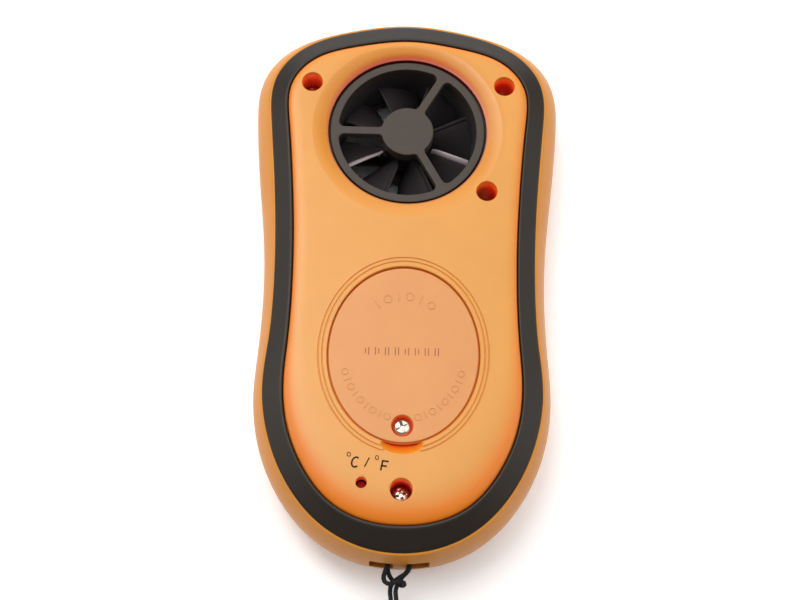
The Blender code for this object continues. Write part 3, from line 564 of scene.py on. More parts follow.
def make_cord_material():
    """Black braided nylon with a faint sheen and loose fibres."""
    nodes = Nodes("cord_braid")
    fibres = nodes.noise(9000.0, 3.0)
    tone = nodes.ramp(fibres, [(0.3, (0.003, 0.003, 0.004)), (0.75, (0.012, 0.011, 0.012))])
    gloss = nodes.spread(fibres, 0.6, 0.85)
    return nodes.paint(tone, gloss, nodes.bump(fibres, 0.00003, 0.6), Sheen_Weight=0.03, Sheen_Roughness=0.4,
                       Specular_IOR_Level=0.25)


def make_window_material():
    """Clear hard-coated lens with faint wipe marks."""
    nodes = Nodes("window_clear")
    marks = nodes.noise(800.0, 5.0)
    gloss = nodes.spread(marks, 0.02, 0.08)
    tint = nodes.ramp(marks, [(0.3, (0.93, 0.96, 0.94)), (0.7, (0.97, 0.98, 0.97))])
    return nodes.paint(tint, gloss, nodes.bump(marks, 0.000002, 0.2), Transmission_Weight=1.0, IOR=1.49)


# ---------------------------------------------------------------- wrist cord

CORD_DIAMETER = 0.8
CORD_LONG_ROUTE = [
    (-0.2, -51.3, 9.65), (-0.95, -51.4, 9.65), (-1.75, -52.1, 9.65), (-2.0, -53.2, 9.6),
    (-2.05, -54.4, 9.35), (-1.75, -55.45, 8.5), (-0.95, -56.35, 7.55), (0.15, -57.05, 7.75),
    (0.98, -57.25, 9.05), (0.55, -56.95, 10.4), (-0.55, -57.0, 10.6), (-1.5, -57.25, 10.3),
    (-2.25, -57.1, 10.1), (-2.7, -56.5, 10.05), (-2.65, -55.6, 10.3), (-2.25, -54.4, 10.65),
    (-1.95, -53.1, 10.75), (-1.7, -52.1, 10.75), (-0.9, -51.35, 10.75), (0.0, -51.2, 10.75),
    (0.9, -51.35, 10.75), (1.7, -52.1, 10.75), (1.95, -53.1, 10.75), (1.8, -54.3, 10.7),
    (1.25, -55.3, 10.4), (0.4, -56.25, 9.9), (-0.15, -57.15, 9.35), (-0.48, -57.95, 8.3),
    (-0.45, -58.7, 6.5), (-0.3, -59.3, 4.3), (-0.1, -60.1, 2.2), (-0.1, -61.3, 0.95),
    (-0.15, -62.6, 0.7), (-0.4, -63.9, 1.15), (-0.85, -65.2, 1.35), (-1.0, -66.35, 1.35),
]
CORD_SHORT_ROUTE = [
    (0.2, -51.3, 9.65), (0.95, -51.35, 9.65), (1.7, -52.1, 9.65), (1.95, -53.2, 9.6),
    (1.85, -54.4, 9.55), (1.1, -55.35, 9.35), (-0.15, -56.15, 8.95), (-1.2, -57.05, 8.6),
    (-1.5, -57.9, 7.8), (-1.45, -58.7, 6.3), (-1.3, -59.3, 4.2), (-1.15, -60.2, 2.1),
    (-1.1, -61.4, 0.8), (-1.1, -62.7, 0.45), (-1.05, -64.5, 0.45), (-1.0, -66.35, 0.45),
]
COIL_TURNS = 5
COIL_OUTER_TURN = 6.4         # radius of the outermost turn's middle
POINTS_IN_A_TURN = 40


def coil_route(centre, height):
    """Return the flat spiral that a strand follows inwards, ending at the knot in its middle."""
    points = []
    for i in range(COIL_TURNS * POINTS_IN_A_TURN + 1):
        angle = math.tau * i / POINTS_IN_A_TURN
        radius = COIL_OUTER_TURN - CORD_DIAMETER * angle / math.tau
        points.append((centre[0] - radius * math.cos(angle), centre[1] - radius * math.sin(angle), height))
    last = len(points)
    inner_turn = int(0.55 * POINTS_IN_A_TURN)
    for i in range(1, inner_turn + 1):
        angle = math.tau * (last - 1 + i) / POINTS_IN_A_TURN
        radius = COIL_OUTER_TURN - CORD_DIAMETER * COIL_TURNS - 1.2 * (i / inner_turn)
        lift = 0.3 * (i / inner_turn) ** 2 * (1.1 - height)
        x, y = centre[0] - radius * math.cos(angle), centre[1] - radius * math.sin(angle)
        points.append((x, y, height + lift))
    return points


def braided_tube(name, path, radius, sides=12, step=0.17):
    """Skin a tube along a path, its surface woven in two crossing sets of ridges."""
    length = np.linalg.norm(np.diff(path, axis=0), axis=1).sum()
    line = spline_through(path, int(length / step), closed=False)
    along = directions(line, closed=False)
    side = np.cross(along[0], [0.0, 0.0, 1.0])
    side /= np.linalg.norm(side)
    rings = []
    for i, point in enumerate(line):
        side = side - along[i] * side.dot(along[i])
        side /= np.linalg.norm(side)
        other = np.cross(along[i], side)
        angles = np.linspace(0, math.tau, sides, endpoint=False)
        travel = i * step * math.tau / 1.3
        weave = np.cos(3 * angles + travel) * np.cos(3 * angles - travel)
        width = radius * (1.06 + 0.06 * weave)
        spokes = np.outer(np.cos(angles), side) + np.outer(np.sin(angles), other)
        rings.append(point + spokes * width[:, None])
    return build(name, [rings]), line


def make_lanyard(made):
    """Cow hitch on the strap eye, two strands, the wound length and the end knot."""
    centre = node_centre("lanyard_coil")[:2]
    strands = (
        ("wrist_cord_long", CORD_LONG_ROUTE, "lanyard_cord_long", 0.194),
        ("wrist_cord_short", CORD_SHORT_ROUTE, "lanyard_cord_short", 0.172),
    )
    for name, route, node, length in strands:
        height = route[-1][2]
        path = np.array(route + [(route[-1][0], centre[1] + 2.2, height)] + coil_route(centre, height))
        piece, line = braided_tube(name, path, CORD_DIAMETER / 2)
        replaced = [node, "lanyard_coil"] if node == "lanyard_cord_long" else [node]
        dress(piece, made["cord"], "case", replaced, sharp=80)
    make_end_knot(made, node_centre("lanyard_knot"))


def make_end_knot(made, middle):
    """Overhand knot that holds both ends together: a trefoil drawn tight."""
    turns = np.linspace(0, math.tau, 90, endpoint=False)
    reach = 0.72 + 0.36 * np.cos(3 * turns)
    x = middle[0] + reach * np.cos(2 * turns)
    y = middle[1] + reach * np.sin(2 * turns)
    z = middle[2] + 0.42 * np.sin(3 * turns)
    line = np.column_stack([x, y, z])
    angles = np.linspace(0, math.tau, 12, endpoint=False)
    rings = []
    for point, direction in zip(line, directions(line)):
        side = np.cross(direction, [0.0, 0.0, 1.0])
        side /= np.linalg.norm(side)
        other = np.cross(direction, side)
        rings.append(point + 0.4 * (np.outer(np.cos(angles), side) + np.outer(np.sin(angles), other)))
    knot = build("wrist_cord_knot", [rings], closed=True)
    dress(knot, made["cord"], "case", ["lanyard_knot"], sharp=80)


# ---------------------------------------------------------------- case

WIDEST_Z = 9.0
CASE_LOOP_Z = 6.0
PLATE_Z = 2.2
LEDGE_Z = 12.3
LIP_Z = 15.2
CEILING_Z = 15.3
BACK_Z = 17.5
BAND_FLOOR_Z = 13.7
SCREWS = ("case_screw_top_left", "case_screw_top_right", "case_screw_middle_right", "case_screw_bottom")
WELL_R = 2.0
WELL_HEAD = 1.6               # how far a well's floor lies below its screw's head
PINHOLE_R = 1.02
OPENING_R = 15.42             # impeller opening in the rear shell
DISH_R = 18.55
DOOR_AXES = np.array([13.85, 16.8])
DOOR_RECESS_Z = 15.6
CELL_BORE_R = 10.6
ROUNDING_STEPS = 20


def case_loops():
    """Return the case's widest outline, the band's outer outline and the raised panel's outline."""
    drop = (WIDEST_Z - CASE_LOOP_Z) / WIDEST_Z
    case = inset(loop_of("front_case", CASE_LOOP_Z), -FRONT_ROUNDING * (1 - math.sqrt(1 - drop**2)))
    band = inset(loop_of("grip_band", LIP_Z), -0.15)
    panel = inset(loop_of("rear_case", 16.6), -0.15)
    return case, band, panel


def case_ring(case, band, z):
    """Return the case's outside at a height, rounded in below the widest line and above it."""
    if z <= WIDEST_Z:
        drop = (WIDEST_Z - z) / WIDEST_Z
        return inset(case, FRONT_ROUNDING * (1 - math.sqrt(max(0.0, 1 - drop**2))))
    rise = (z - WIDEST_Z) / (LIP_Z - WIDEST_Z)
    return case + (inset(band, -LIP_WIDTH) - case) * rise**2


def hole(centre, radius, floor, mouth, lip=0.25, count=48):
    """Return a round cutter from a floor to a mouth that opens out over a rounded lip."""
    out = math.copysign(1, mouth - floor)
    edge = mouth - out * lip
    profile = [(radius, floor), (radius, edge)]
    for i in range(1, 6):
        angle = math.pi / 2 * i / 5
        profile.append((radius + lip * (1 - math.cos(angle)), edge + out * lip * math.sin(angle)))
    profile.append((radius + lip, mouth + out * 2))
    return turned(centre, profile, count)


def make_front_shell(made, case, band):
    """Front shell: rounded outside, lip round the band, bosses, window, button holes and strap eye."""
    rings = [
        ring(inset(case, FRONT_ROUNDING + 0.3), PLATE_Z),
        ring(inset(case_ring(case, band, 4.0), WALL), 4.0),
        ring(inset(case_ring(case, band, 7.0), WALL), 7.0),
        ring(inset(case_ring(case, band, 10.6), WALL), 10.6),
        ring(inset(band, 1.4), 11.2),
        ring(inset(band, 1.4), LEDGE_Z),
        ring(inset(band, -0.15), LEDGE_Z),
        ring(inset(band, -0.12), LIP_Z - 0.12),
        ring(inset(band, -0.24), LIP_Z + 0.02),
        ring(inset(band, -0.42), LIP_Z + 0.02),
    ]
    heights = [LIP_Z - 0.08, 14.6, 13.8, 12.9, 12.0, 11.0, 10.0, WIDEST_Z, 7.9, 6.8, 5.7, 4.6, 3.6, 2.7]
    heights += [1.9, 1.3, 0.85, 0.5, 0.25, 0.1, 0.02, 0.0]
    rings += [ring(case_ring(case, band, z), z) for z in heights]
    rings[-1] = ring(inset(case, FRONT_ROUNDING + 0.25), 0.0)
    piece = build("front_shell", [rings])
    add(piece, [[ring(rectangle((-7.5, -52.6), (7.5, -48.4)), z) for z in (5.5, LEDGE_Z - 0.02)]])
    bosses = []
    for screw in SCREWS:
        x, y, _ = node_centre(screw)
        bosses.append(turned((x, y), [(2.6, 1.8), (2.6, node_box(screw)[1][2] - 3.2)], 32))
    add(piece, bosses)
    cut_strap_eye(piece)
    duct = node_centre("impeller_duct")[:2]
    cut(piece, [hole(duct, 15.3, 4, 0, 0.5, ROUND)])
    places = [node_centre(f"{key}_button")[:2] for key in ("power", "mode", "set")]
    cut(piece, [hole(place, 4.2, 4, 0, 0.5) for place in places])
    low, high = node_box("display_window")
    frame_steps = ((0.3, 1.6), (0.3, 0.25), (0.42, 0.08), (0.6, 0.0), (0.6, -2))
    cut(piece, [[ring(rectangle(low[:2] - e, high[:2] + e, 1.6 + e), z) for e, z in frame_steps]])
    cut(piece, [[ring(rectangle(low[:2] + 2.3, high[:2] - 2.3, 0.8), z) for z in (1.0, 4)]])
    return dress(piece, made["case"], "case", ["front_case"])


def cut_strap_eye(piece):
    """Cut the two windows beside the strap post and the hollow behind it."""
    wide, post = 5.4, 1.15
    for left, right in ((-wide, -post), (post, wide)):
        loop = rectangle((left, 8.6), (right, 12.0), 0.5)
        rings = [np.column_stack([loop[:, 0], np.full(len(loop), y), loop[:, 1]]) for y in (-57.0, -52.0)]
        cut(piece, [rings])
    loop = rectangle((-wide, 8.6), (wide, 11.4), 0.3)
    cut(piece, [[np.column_stack([loop[:, 0], np.full(len(loop), y), loop[:, 1]]) for y in (-52.4, -50.0)]])


def make_band(made, band, panel):
    """Rubber band: outer shoulder, sloping face and a rounded inner bead beside the panel."""
    outer, inner = inset(band, -0.2), inset(panel, -0.05)
    across = [
        (0.05, BAND_FLOOR_Z), (0.05, 15.2), (0.0, 15.24), (0.0, 15.32), (0.02, 15.42), (0.06, 15.54),
        (0.13, 15.68), (0.25, 15.9), (0.40, 16.17), (0.55, 16.44), (0.68, 16.68), (0.79, 16.89),
        (0.87, 17.01), (0.91, 17.03), (0.95, 16.98), (0.978, 16.87), (0.993, 16.7), (1.0, 16.45),
        (1.0, BAND_FLOOR_Z),
    ]
    rings = [ring(outer + (inner - outer) * share, z) for share, z in across]
    piece = build("grip_band_moulding", [rings], closed=True)
    return dress(piece, made["rubber"], "case", ["grip_band"], sharp=60)


def make_rear_shell(made, band, panel):
    """Rear shell: raised panel, screw wells, battery bay, impeller opening and unit pinhole."""
    edge = inset(panel, 0.08)
    low_end = np.clip((-10 - panel[:, 1]) / 35, 0, 1)
    rounding = 2.1 + 4.4 * low_end**1.1
    start = 16.75 - 0.55 * low_end
    rings = [
        ring(inset(panel, 2.0), CEILING_Z),
        ring(inset(panel, 2.0), LEDGE_Z + GAP),
        ring(inset(band, 0.45), LEDGE_Z + GAP),
        ring(inset(band, 0.45), 13.4),
        ring(edge, 13.4),
        ring(edge, start),
    ]
    for i in range(1, ROUNDING_STEPS + 1):
        across = (i / ROUNDING_STEPS) ** 1.7
        rise = math.sqrt(1 - (1 - across) ** 2.4)
        rings.append(ring(inset(edge, rounding * 1.35 * across), start + (BACK_Z - start) * rise))
    piece = build("rear_shell", [rings])
    screws = {screw: (node_centre(screw)[:2], node_box(screw)[1][2]) for screw in SCREWS}
    tubes = [turned(place, [(3.2, top - WELL_HEAD - 1.3), (3.2, 16)], 40) for place, top in screws.values()]
    add(piece, tubes)
    door, cell = node_centre("battery_door")[:2], node_centre("coin_cell")[:2]
    screw = node_centre("battery_door_screw")[:2]
    add(piece, [[ring(ellipse(door, (15.6, 18.4)), z) for z in (13.0, 16.0)]])
    add(piece, [turned(cell, [(12.6, 9.4), (12.6, 15.0)])])
    add(piece, [turned(screw, [(2.9, 9.4), (2.9, 14.0)], 40)])
    cut_battery_bay(piece, door, cell, screw)
    cut(piece, [hole(place, WELL_R, top - WELL_HEAD, BACK_Z, 0.22) for place, top in screws.values()])
    cut(piece, [turned(place, [(1.15, 2), (1.15, top - 1)], 24) for place, top in screws.values()])
    duct = node_centre("impeller_duct")[:2]
    cut(piece, [turned(duct, [(OPENING_R, 13), (OPENING_R, 19)], 128)])
    cut_dish(piece, duct)
    pinhole = node_centre("unit_switch_plunger")[:2]
    cut(piece, [hole(pinhole, PINHOLE_R, 14, BACK_Z, 0.12, 32)])
    return dress(piece, made["panel"], "case", ["rear_case"])


def cut_battery_bay(piece, door, cell, screw):
    """Cut the door's recess, the cell's bore, the seal's groove, the screw's pocket and the finger notch."""
    steps = ((0.2, DOOR_RECESS_Z), (0.2, 17.2), (0.25, 17.38), (0.4, BACK_Z), (0.4, 19))
    cut(piece, [[ring(ellipse(door, DOOR_AXES + wider, 128), z) for wider, z in steps]])
    cut(piece, [turned(screw, [(3.05, 14.3), (3.05, 17)], 40)])
    cut(piece, [turned(screw, [(1.1, 10.0), (1.1, 15)], 24)])
    cut(piece, [turned(cell, [(CELL_BORE_R, 10.6), (CELL_BORE_R, 17)])])
    cut(piece, [turned(cell, [(11.3, 14.8), (12.7, 14.8), (12.7, 16), (11.3, 16)])], closed=True)
    x, y = cell
    cut(piece, [[ring(rectangle((x + 9.5, y - 2.3), (x + 11.2, y + 2.3)), z) for z in (9.0, 15.0)]])
    cut(piece, [[ring(rectangle((x - 1.8, y - 0.9), (x + 1.8, y + 0.9)), z) for z in (9.0, 12.0)]])
    x, y = door
    scoop = [
        ((2.0, 0.7), 16.1, 15.9), ((2.5, 1.0), 16.3, 16.1), ((3.0, 1.3), 16.5, 16.5),
        ((3.4, 1.6), 16.65, 16.9), ((3.65, 1.85), 16.78, 17.2), ((3.85, 2.02), 16.82, 17.42),
        ((3.95, 2.1), 16.85, BACK_Z), ((3.95, 2.1), 16.85, 19),
    ]
    cut(piece, [[ring(ellipse((x, y - drop), a, 48), z) for a, drop, z in scoop]])
    cut_door_bead(piece, door)


def cut_door_bead(piece, door):
    """Cut the fine groove that outlines a bead round the door, open beside the finger notch."""
    x, y = door
    outer = arc((x, y), (15.7, 18.8), -77, 257, 150)
    inner = arc((x, y), (14.97, 18.05), 256, -76, 150)
    path = np.vstack([outer, turn_end(outer[-1], inner[0]), inner, turn_end(inner[-1], outer[0])])
    section = [(-0.17, 0.3), (-0.17, 0.0), (-0.06, -0.17), (0.06, -0.17), (0.17, 0.0), (0.17, 0.3)]
    sides = zip(path, left_side(path))
    rings = [[(*(point + out * a), BACK_Z + b) for a, b in section] for point, out in sides]
    cut(piece, [rings], closed=True)


def turn_end(start, stop):
    """Return the points of an anticlockwise half circle from one point round to another."""
    middle, reach = (start + stop) / 2, (start - stop) / 2
    bulge = np.array([-reach[1], reach[0]])
    angles = [math.pi * i / 6 for i in range(1, 6)]
    return np.array([middle + reach * math.cos(a) + bulge * math.sin(a) for a in angles])


def cut_dish(piece, duct):
    """Cut the shallow dish round the impeller opening."""
    depths = [(15.2, 1.12), (15.52, 1.1), (16.0, 0.86), (16.6, 0.6), (17.2, 0.37), (17.7, 0.2)]
    depths += [(18.1, 0.09), (18.35, 0.04)]
    profile = [(13, BACK_Z - 1.12)] + [(radius, BACK_Z - depth) for radius, depth in depths]
    profile += [(DISH_R, BACK_Z + 0.02), (DISH_R, 19), (13, 19)]
    cut(piece, [turned(duct, profile, 128)], closed=True)


# ---------------------------------------------------------------- battery door and screws

MARK_HEIGHT = 0.07            # how far the door's marks stand up
CLEAR_OF_SCREW = 2.6


def make_door(made):
    """Battery door with its counterbore and two arcs of plain raised ribs and loops."""
    centre = node_centre("battery_door")[:2]
    top = node_box("battery_door")[1][2]
    screw = node_centre("battery_door_screw")[:2]
    steps = (
        (0.14, 15.9), (0.14, top - 0.5), (-0.08, top - 0.4), (-0.08, top - 0.15), (-0.15, top - 0.04),
        (-0.3, top),
    )
    loops = [ring(ellipse(centre, DOOR_AXES + wider, 128), z) for wider, z in steps]
    piece = build("battery_door_cover", [loops])
    add(piece, [turned(screw, [(2.75, 14.6), (2.75, 16.4)], 40)])
    cut(piece, [hole(screw, 2.0, 15.3, top, 0.14)])
    cut(piece, [turned(screw, [(1.1, 14), (1.1, 16)], 24)])
    dress(piece, made["door"], "battery_door", ["battery_door"])
    ribs, loops = [], []
    rows = (
        (np.linspace(197, 343, 21), (11.1, 12.3), (0.75, 0.17), 0.72),
        (np.linspace(58, 122, 6), (9.4, 11.2), (0.95, 0.2), 0.85),
    )
    for angles, axes, bar, loop_radius in rows:
        for i, angle in enumerate(np.radians(angles)):
            place = centre + np.array(axes) * (math.cos(angle), math.sin(angle))
            if place[1] < centre[1] and abs(place[0] - screw[0]) < CLEAR_OF_SCREW:
                continue
            if i % 2:
                ribs.append(raised_rib(place, angle, *bar, top))
            else:
                loops.append(raised_loop(place, loop_radius, top))
    dress(build("battery_door_ribs", ribs), made["door"], "battery_door", ())
    dress(build("battery_door_loops", loops, closed=True), made["door"], "battery_door", ())


def raised_loop(middle, radius, top):
    """Return a small raised ring."""
    profile = [(radius, top - 0.1), (radius, top + 0.02), (radius - 0.08, top + MARK_HEIGHT)]
    profile += [(radius - 0.2, top + MARK_HEIGHT), (radius - 0.28, top + 0.02), (radius - 0.28, top - 0.1)]
    return turned(middle, profile, 24)


def raised_rib(middle, angle, half_length, half_width, top):
    """Return a small raised bar that points along an angle."""
    out = np.array([math.cos(angle), math.sin(angle)])
    across = np.array([-out[1], out[0]])
    rings = []
    for shrink, z in ((0.0, top - 0.1), (0.0, top + 0.02), (0.08, top + MARK_HEIGHT)):
        corners = []
        for i in range(12):
            turn = math.tau * i / 12
            reach = math.copysign(half_length - half_width, math.cos(turn))
            a = reach + (half_width - shrink) * math.cos(turn)
            b = (half_width - shrink) * math.sin(turn)
            corners.append((*(middle + out * a + across * b), z))
        rings.append(corners)
    return rings


def make_screw(made, node, body):
    """Pan-headed screw with a tapered cross recess and a threaded shank."""
    low, high = node_box(node)
    x, y = (low + high)[:2] / 2
    top = high[2]
    radius = (high[0] - low[0]) / 2
    height = 0.8 if node == "battery_door_screw" else 1.3
    under = top - height
    profile = [(0.5, low[2])] + thread_profile(low[2] + 0.5, under, radius * 0.6)
    rim = under + 0.45 * height
    profile += [(radius, under), (radius, rim)]
    for share in (0.97, 0.92, 0.85, 0.75, 0.62, 0.45, 0.25):
        profile.append((radius * share, top - (top - rim) * share**5))
    piece = build(f"{node}_detailed", [turned((x, y), profile, 48)])
    reach, width = radius * 0.66, radius * 0.16
    depth = min(0.75, height * 0.75)
    for spin in (0, 90):
        rings = []
        for share, z in ((0.35, top - depth), (1.0, top - 0.12), (1.15, top + 0.5)):
            a, b = reach * share, width * (0.6 + 0.4 * share)
            corners = [(-a, -b), (a, -b), (a, b), (-a, b)]
            if spin:
                corners = [(-q, p) for p, q in corners]
            turn = math.radians(20)
            c, s = math.cos(turn), math.sin(turn)
            rings.append([(x + c * p - s * q, y + s * p + c * q, z) for p, q in corners])
        cut(piece, [rings])
    return dress(piece, made["steel"], body, [node], sharp=40)


def thread_profile(low, high, radius):
    """Return a zigzag of thread crests and roots up a shank."""
    points = []
    pitch = 0.45
    z = low
    while z + pitch < high:
        points += [(radius * 0.78, z), (radius, z + pitch * 0.4)]
        z += pitch
    return points + [(radius * 0.78, high)]


# ---------------------------------------------------------------- duct, guards and impeller

HUB_R = 5.1
AIRWAY_R = 13.4
SPOKE_HALF = 0.85
SPOKES = (180, -60, 60)
HUB_FILLET, RIM_FILLET = 0.7, 1.0


def window_loop(centre, start, stop):
    """Return one guard window between two spokes, its corners filleted, from the spokes' angles."""
    spread = (stop - start) / 2
    low, high = SPOKE_HALF + HUB_FILLET, SPOKE_HALF + RIM_FILLET
    near = math.sqrt((HUB_R + HUB_FILLET) ** 2 - low**2)
    far = math.sqrt((AIRWAY_R - RIM_FILLET) ** 2 - high**2)
    first, last = math.degrees(math.atan2(low, near)), math.degrees(math.atan2(high, far))
    half = np.vstack([
        arc((0, 0), (HUB_R, HUB_R), spread, first, 9)[1:-1],
        arc((near, low), (HUB_FILLET, HUB_FILLET), 180 + first, 270, 7),
        arc((far, high), (RIM_FILLET, RIM_FILLET), -90, last, 9),
        arc((0, 0), (AIRWAY_R, AIRWAY_R), last, spread, 15)[1:-1],
    ])
    c, s = math.cos(math.radians(start)), math.sin(math.radians(start))
    half = half @ [[c, s], [-s, c]]
    c, s = math.cos(math.radians(start + stop)), math.sin(math.radians(start + stop))
    mirrored = half @ [[c, s], [s, -c]]
    middle = (start + stop) / 2
    rim, hub = (arc((0, 0), (radius, radius), middle, middle, 1) for radius in (AIRWAY_R, HUB_R))
    return np.vstack([half, rim, mirrored[::-1], hub]) + centre


def make_guard(made, node, inward):
    """Guard: ring, three filleted spokes and a plain hub disc, in one moulding."""
    low, high = node_box(node)
    face, back = (high[2], low[2]) if inward < 0 else (low[2], high[2])
    centre = (low + high)[:2] / 2
    shoulder = CEILING_Z - GAP if inward < 0 else PLATE_Z + GAP
    flange = shoulder + inward * 0.9
    profile = [
        (14.72, face), (14.92, face + inward * 0.08), (15.0, face + inward * 0.28), (15.0, shoulder),
        (16.5, shoulder), (16.5, flange), (13.2, flange),
    ]
    piece = build(f"{node}_moulding", [turned(centre, profile, 128)])
    steps = ((0, back + inward * 3), (0, face + inward * 0.3), (0.1, face + inward * 0.08), (0.3, face))
    for start in SPOKES:
        loop = window_loop(centre, start, start + 120)
        rings = [ring(inset(loop, -wider) if wider else loop, z) for wider, z in steps]
        rings.append(ring(inset(loop, -0.3), face - inward * 2))
        cut(piece, [rings])
    under = face + inward * 1.5
    above = under + inward * 4
    cut(piece, [turned(centre, [(5.3, under), (13.2, under), (13.2, above), (5.3, above)])], closed=True)
    add(piece, [turned(centre, [(HUB_R, face + inward * 1.3), (HUB_R, face + inward * 2.5)])])
    cut(piece, [turned(centre, [(1.75, face + inward * 0.9), (1.75, face + inward * 5)], 40)])
    return dress(piece, made["guard"], "case", [node])


def make_duct(made):
    """Duct ring with a slightly flared airway and the hole for the temperature bead."""
    low, high = node_box("impeller_duct")
    centre = (low + high)[:2] / 2
    bottom, top = low[2], high[2]
    flare = AIRWAY_R + 0.25
    profile = [(flare, bottom), (15.0, bottom), (15.0, top), (flare, top), (AIRWAY_R, top - 0.6)]
    profile.append((AIRWAY_R, bottom + 0.6))
    piece = build("impeller_duct_smooth", [turned(centre, profile, 128)], closed=True)
    bead = node_centre("temperature_sensor")
    cut(piece, [level_drum(centre[1] - 17, centre[1] - 12, bead[2] - 1.05, 0.95)])
    dress(piece, made["duct"], "case", ["impeller_duct"])


def level_drum(y_low, y_high, z, radius, count=24):
    """Return a cylinder lying along Y on the meter's centre line."""
    angles = np.linspace(0, math.tau, count, endpoint=False)
    x, height = radius * np.cos(angles), z + radius * np.sin(angles)
    return [np.column_stack([x, np.full(count, y), height]) for y in (y_low, y_high)]


BLADES = 8
BLADE_START = math.radians(-37)
GLINT_BLADES = (0, 5)           # blades whose edge bead is painted pale, as a highlight
PALE_EDGE_HALF, EDGE_HALF = 0.62, 0.42
BLADE_MIDDLE_Z = 8.8
BLADE_ROOT_R, BLADE_TIP_R = 3.3, 12.9
ROOT_PITCH, TIP_PITCH = math.radians(58), math.radians(30)
ROOT_HALF_CHORD, TIP_HALF_CHORD = 2.6, 4.9


def make_impeller(made):
    """Impeller: domed hub and thin twisted blades with rounded edges; some blades' edge beads are pale, a
    painted highlight.
    """
    low, high = node_box("impeller")
    centre = (low + high)[:2] / 2
    hub_low, hub_high = 5.4, 11.4
    profile = [
        (3.2, hub_low), (3.8, hub_low + 0.2), (4.0, hub_low + 0.6), (4.0, hub_high - 0.5),
        (3.8, hub_high - 0.15), (3.4, hub_high),
    ]
    piece = build("impeller_moulding", [turned(centre, profile, 64)])
    turns = [BLADE_START + math.tau * i / BLADES for i in range(BLADES)]
    add(piece, [blade(centre, turn) for turn in turns])
    cut(piece, [turned(centre, [(0.8, 2), (0.8, 14)], 32)])
    dress(piece, made["impeller"], "impeller", ["impeller"], sharp=40)
    # The blades listed as pale get a pale edge bead: a painted highlight standing in for glints on those
    # edges.
    beads = {"impeller_blade_edges": ("impeller", []), "impeller_painted_glint_edges": ("impeller_glint_paint", [])}
    for i, turn in enumerate(turns):
        pale = i in GLINT_BLADES
        name = "impeller_painted_glint_edges" if pale else "impeller_blade_edges"
        beads[name][1].append(blade_edge(centre, turn, PALE_EDGE_HALF if pale else EDGE_HALF))
    for name, (finish, shells) in beads.items():
        dress(build(name, shells), made[finish], "impeller", (), sharp=60)


def blade_place(centre, turn, out, along, above):
    """Return a blade's point from its share of the way out, place on the chord and height above it."""
    radius = BLADE_ROOT_R + (BLADE_TIP_R - BLADE_ROOT_R) * out
    pitch = ROOT_PITCH + (TIP_PITCH - ROOT_PITCH) * out
    half_chord = ROOT_HALF_CHORD + (TIP_HALF_CHORD - ROOT_HALF_CHORD) * out
    chord = along * half_chord
    sideways = chord * math.cos(pitch) - above * math.sin(pitch)
    height = chord * math.sin(pitch) + above * math.cos(pitch)
    angle = turn + sideways / max(radius, 6.0)
    return (
        centre[0] + radius * math.cos(angle),
        centre[1] + radius * math.sin(angle),
        BLADE_MIDDLE_Z + height,
    )


def blade(centre, turn):
    """Return one twisted, slightly cambered blade as a stack of sections from hub to tip."""
    rings = []
    stations, across = 14, 11
    chord = np.linspace(-1, 1, across)
    section = [(a, 1) for a in chord] + [(a, -1) for a in chord[-2:0:-1]]
    for i in range(stations):
        out = i / (stations - 1)
        half_thick = 0.36 - 0.1 * out
        points = []
        for along, side in section:
            thick = half_thick * math.sqrt(max(0.0, 1 - along**4)) * side
            points.append(blade_place(centre, turn, out, along, thick + 0.3 * (1 - along**2)))
        rings.append(points)
    return rings


def blade_edge(centre, turn, half_width):
    """Return the rounded bead along a blade's upper edge."""
    rings = []
    for out in np.linspace(0.2, 0.985, 12):
        half_chord = ROOT_HALF_CHORD + (TIP_HALF_CHORD - ROOT_HALF_CHORD) * out
        points = []
        for i in range(12):
            angle = math.tau * i / 12
            across = half_width * math.cos(angle) / half_chord
            points.append(blade_place(centre, turn, out, 0.94 + across, 0.1 + 0.3 * math.sin(angle)))
        rings.append(points)
    return rings


# ---------------------------------------------------------------- print, display and buttons

def stroke(points, width, top, thickness=0.025):
    """Return a flat printed stroke that follows points, as a thin prism."""
    points = np.array(points, dtype=float)
    side = left_side(points, closed=False) * width / 2
    loop = np.vstack([points + side, (points - side)[::-1]])
    return [ring(loop, top - thickness), ring(loop, top + thickness)]


def make_unit_mark(made):
    """Printed temperature-unit mark beside the pinhole: degrees C and degrees F with a slash."""
    pinhole = node_centre("unit_switch_plunger")[:2]
    rings = [(-2.32, 5.08), (2.73, 4.58)]
    shapes = [(arc(place, (0.3, 0.36), 0, 350), 0.14) for place in rings]
    shapes.append((leaning(arc((-1.1, 3.68), (0.66, 0.9), 50, 312), 3.68), 0.3))
    shapes.append((np.linspace((0.52, 2.85), (1.36, 4.55), 6), 0.22))
    stem, bar, middle = ((3.42, 2.25), (3.78, 4.12)), ((3.7, 4.02), (4.84, 3.9)), ((3.58, 3.12), (4.5, 3.02))
    shapes += [(np.linspace(*ends, 6), 0.3) for ends in (stem, bar, middle)]
    piece = build("unit_mark", [stroke(points + pinhole, width, BACK_Z + 0.01) for points, width in shapes])
    dress(piece, made["ink"], "case", sharp=30)


def leaning(points, base):
    """Slant points about a height, as italic type leans."""
    return np.column_stack([points[:, 0] + 0.16 * (points[:, 1] - base), points[:, 1]])


def make_door_print(made):
    """Faded batch mark across the battery door: a plain row of short bars."""
    centre = node_centre("battery_door")[:2]
    top = node_box("battery_door")[1][2]
    bars = []
    for i, x in enumerate(np.linspace(-7.0, 7.0, 24)):
        if i % 3 != 2:
            reach = 0.75 if i % 4 else 0.5
            bars.append(stroke(centre + np.linspace((x, 0.4 - reach), (x, 0.4 + reach), 3), 0.2, top, 0.015))
    dress(build("battery_door_bars", bars), made["soft_ink"], "battery_door")


DIGIT_LEAN = 0.12
SEGMENT_WIDTH = 0.55


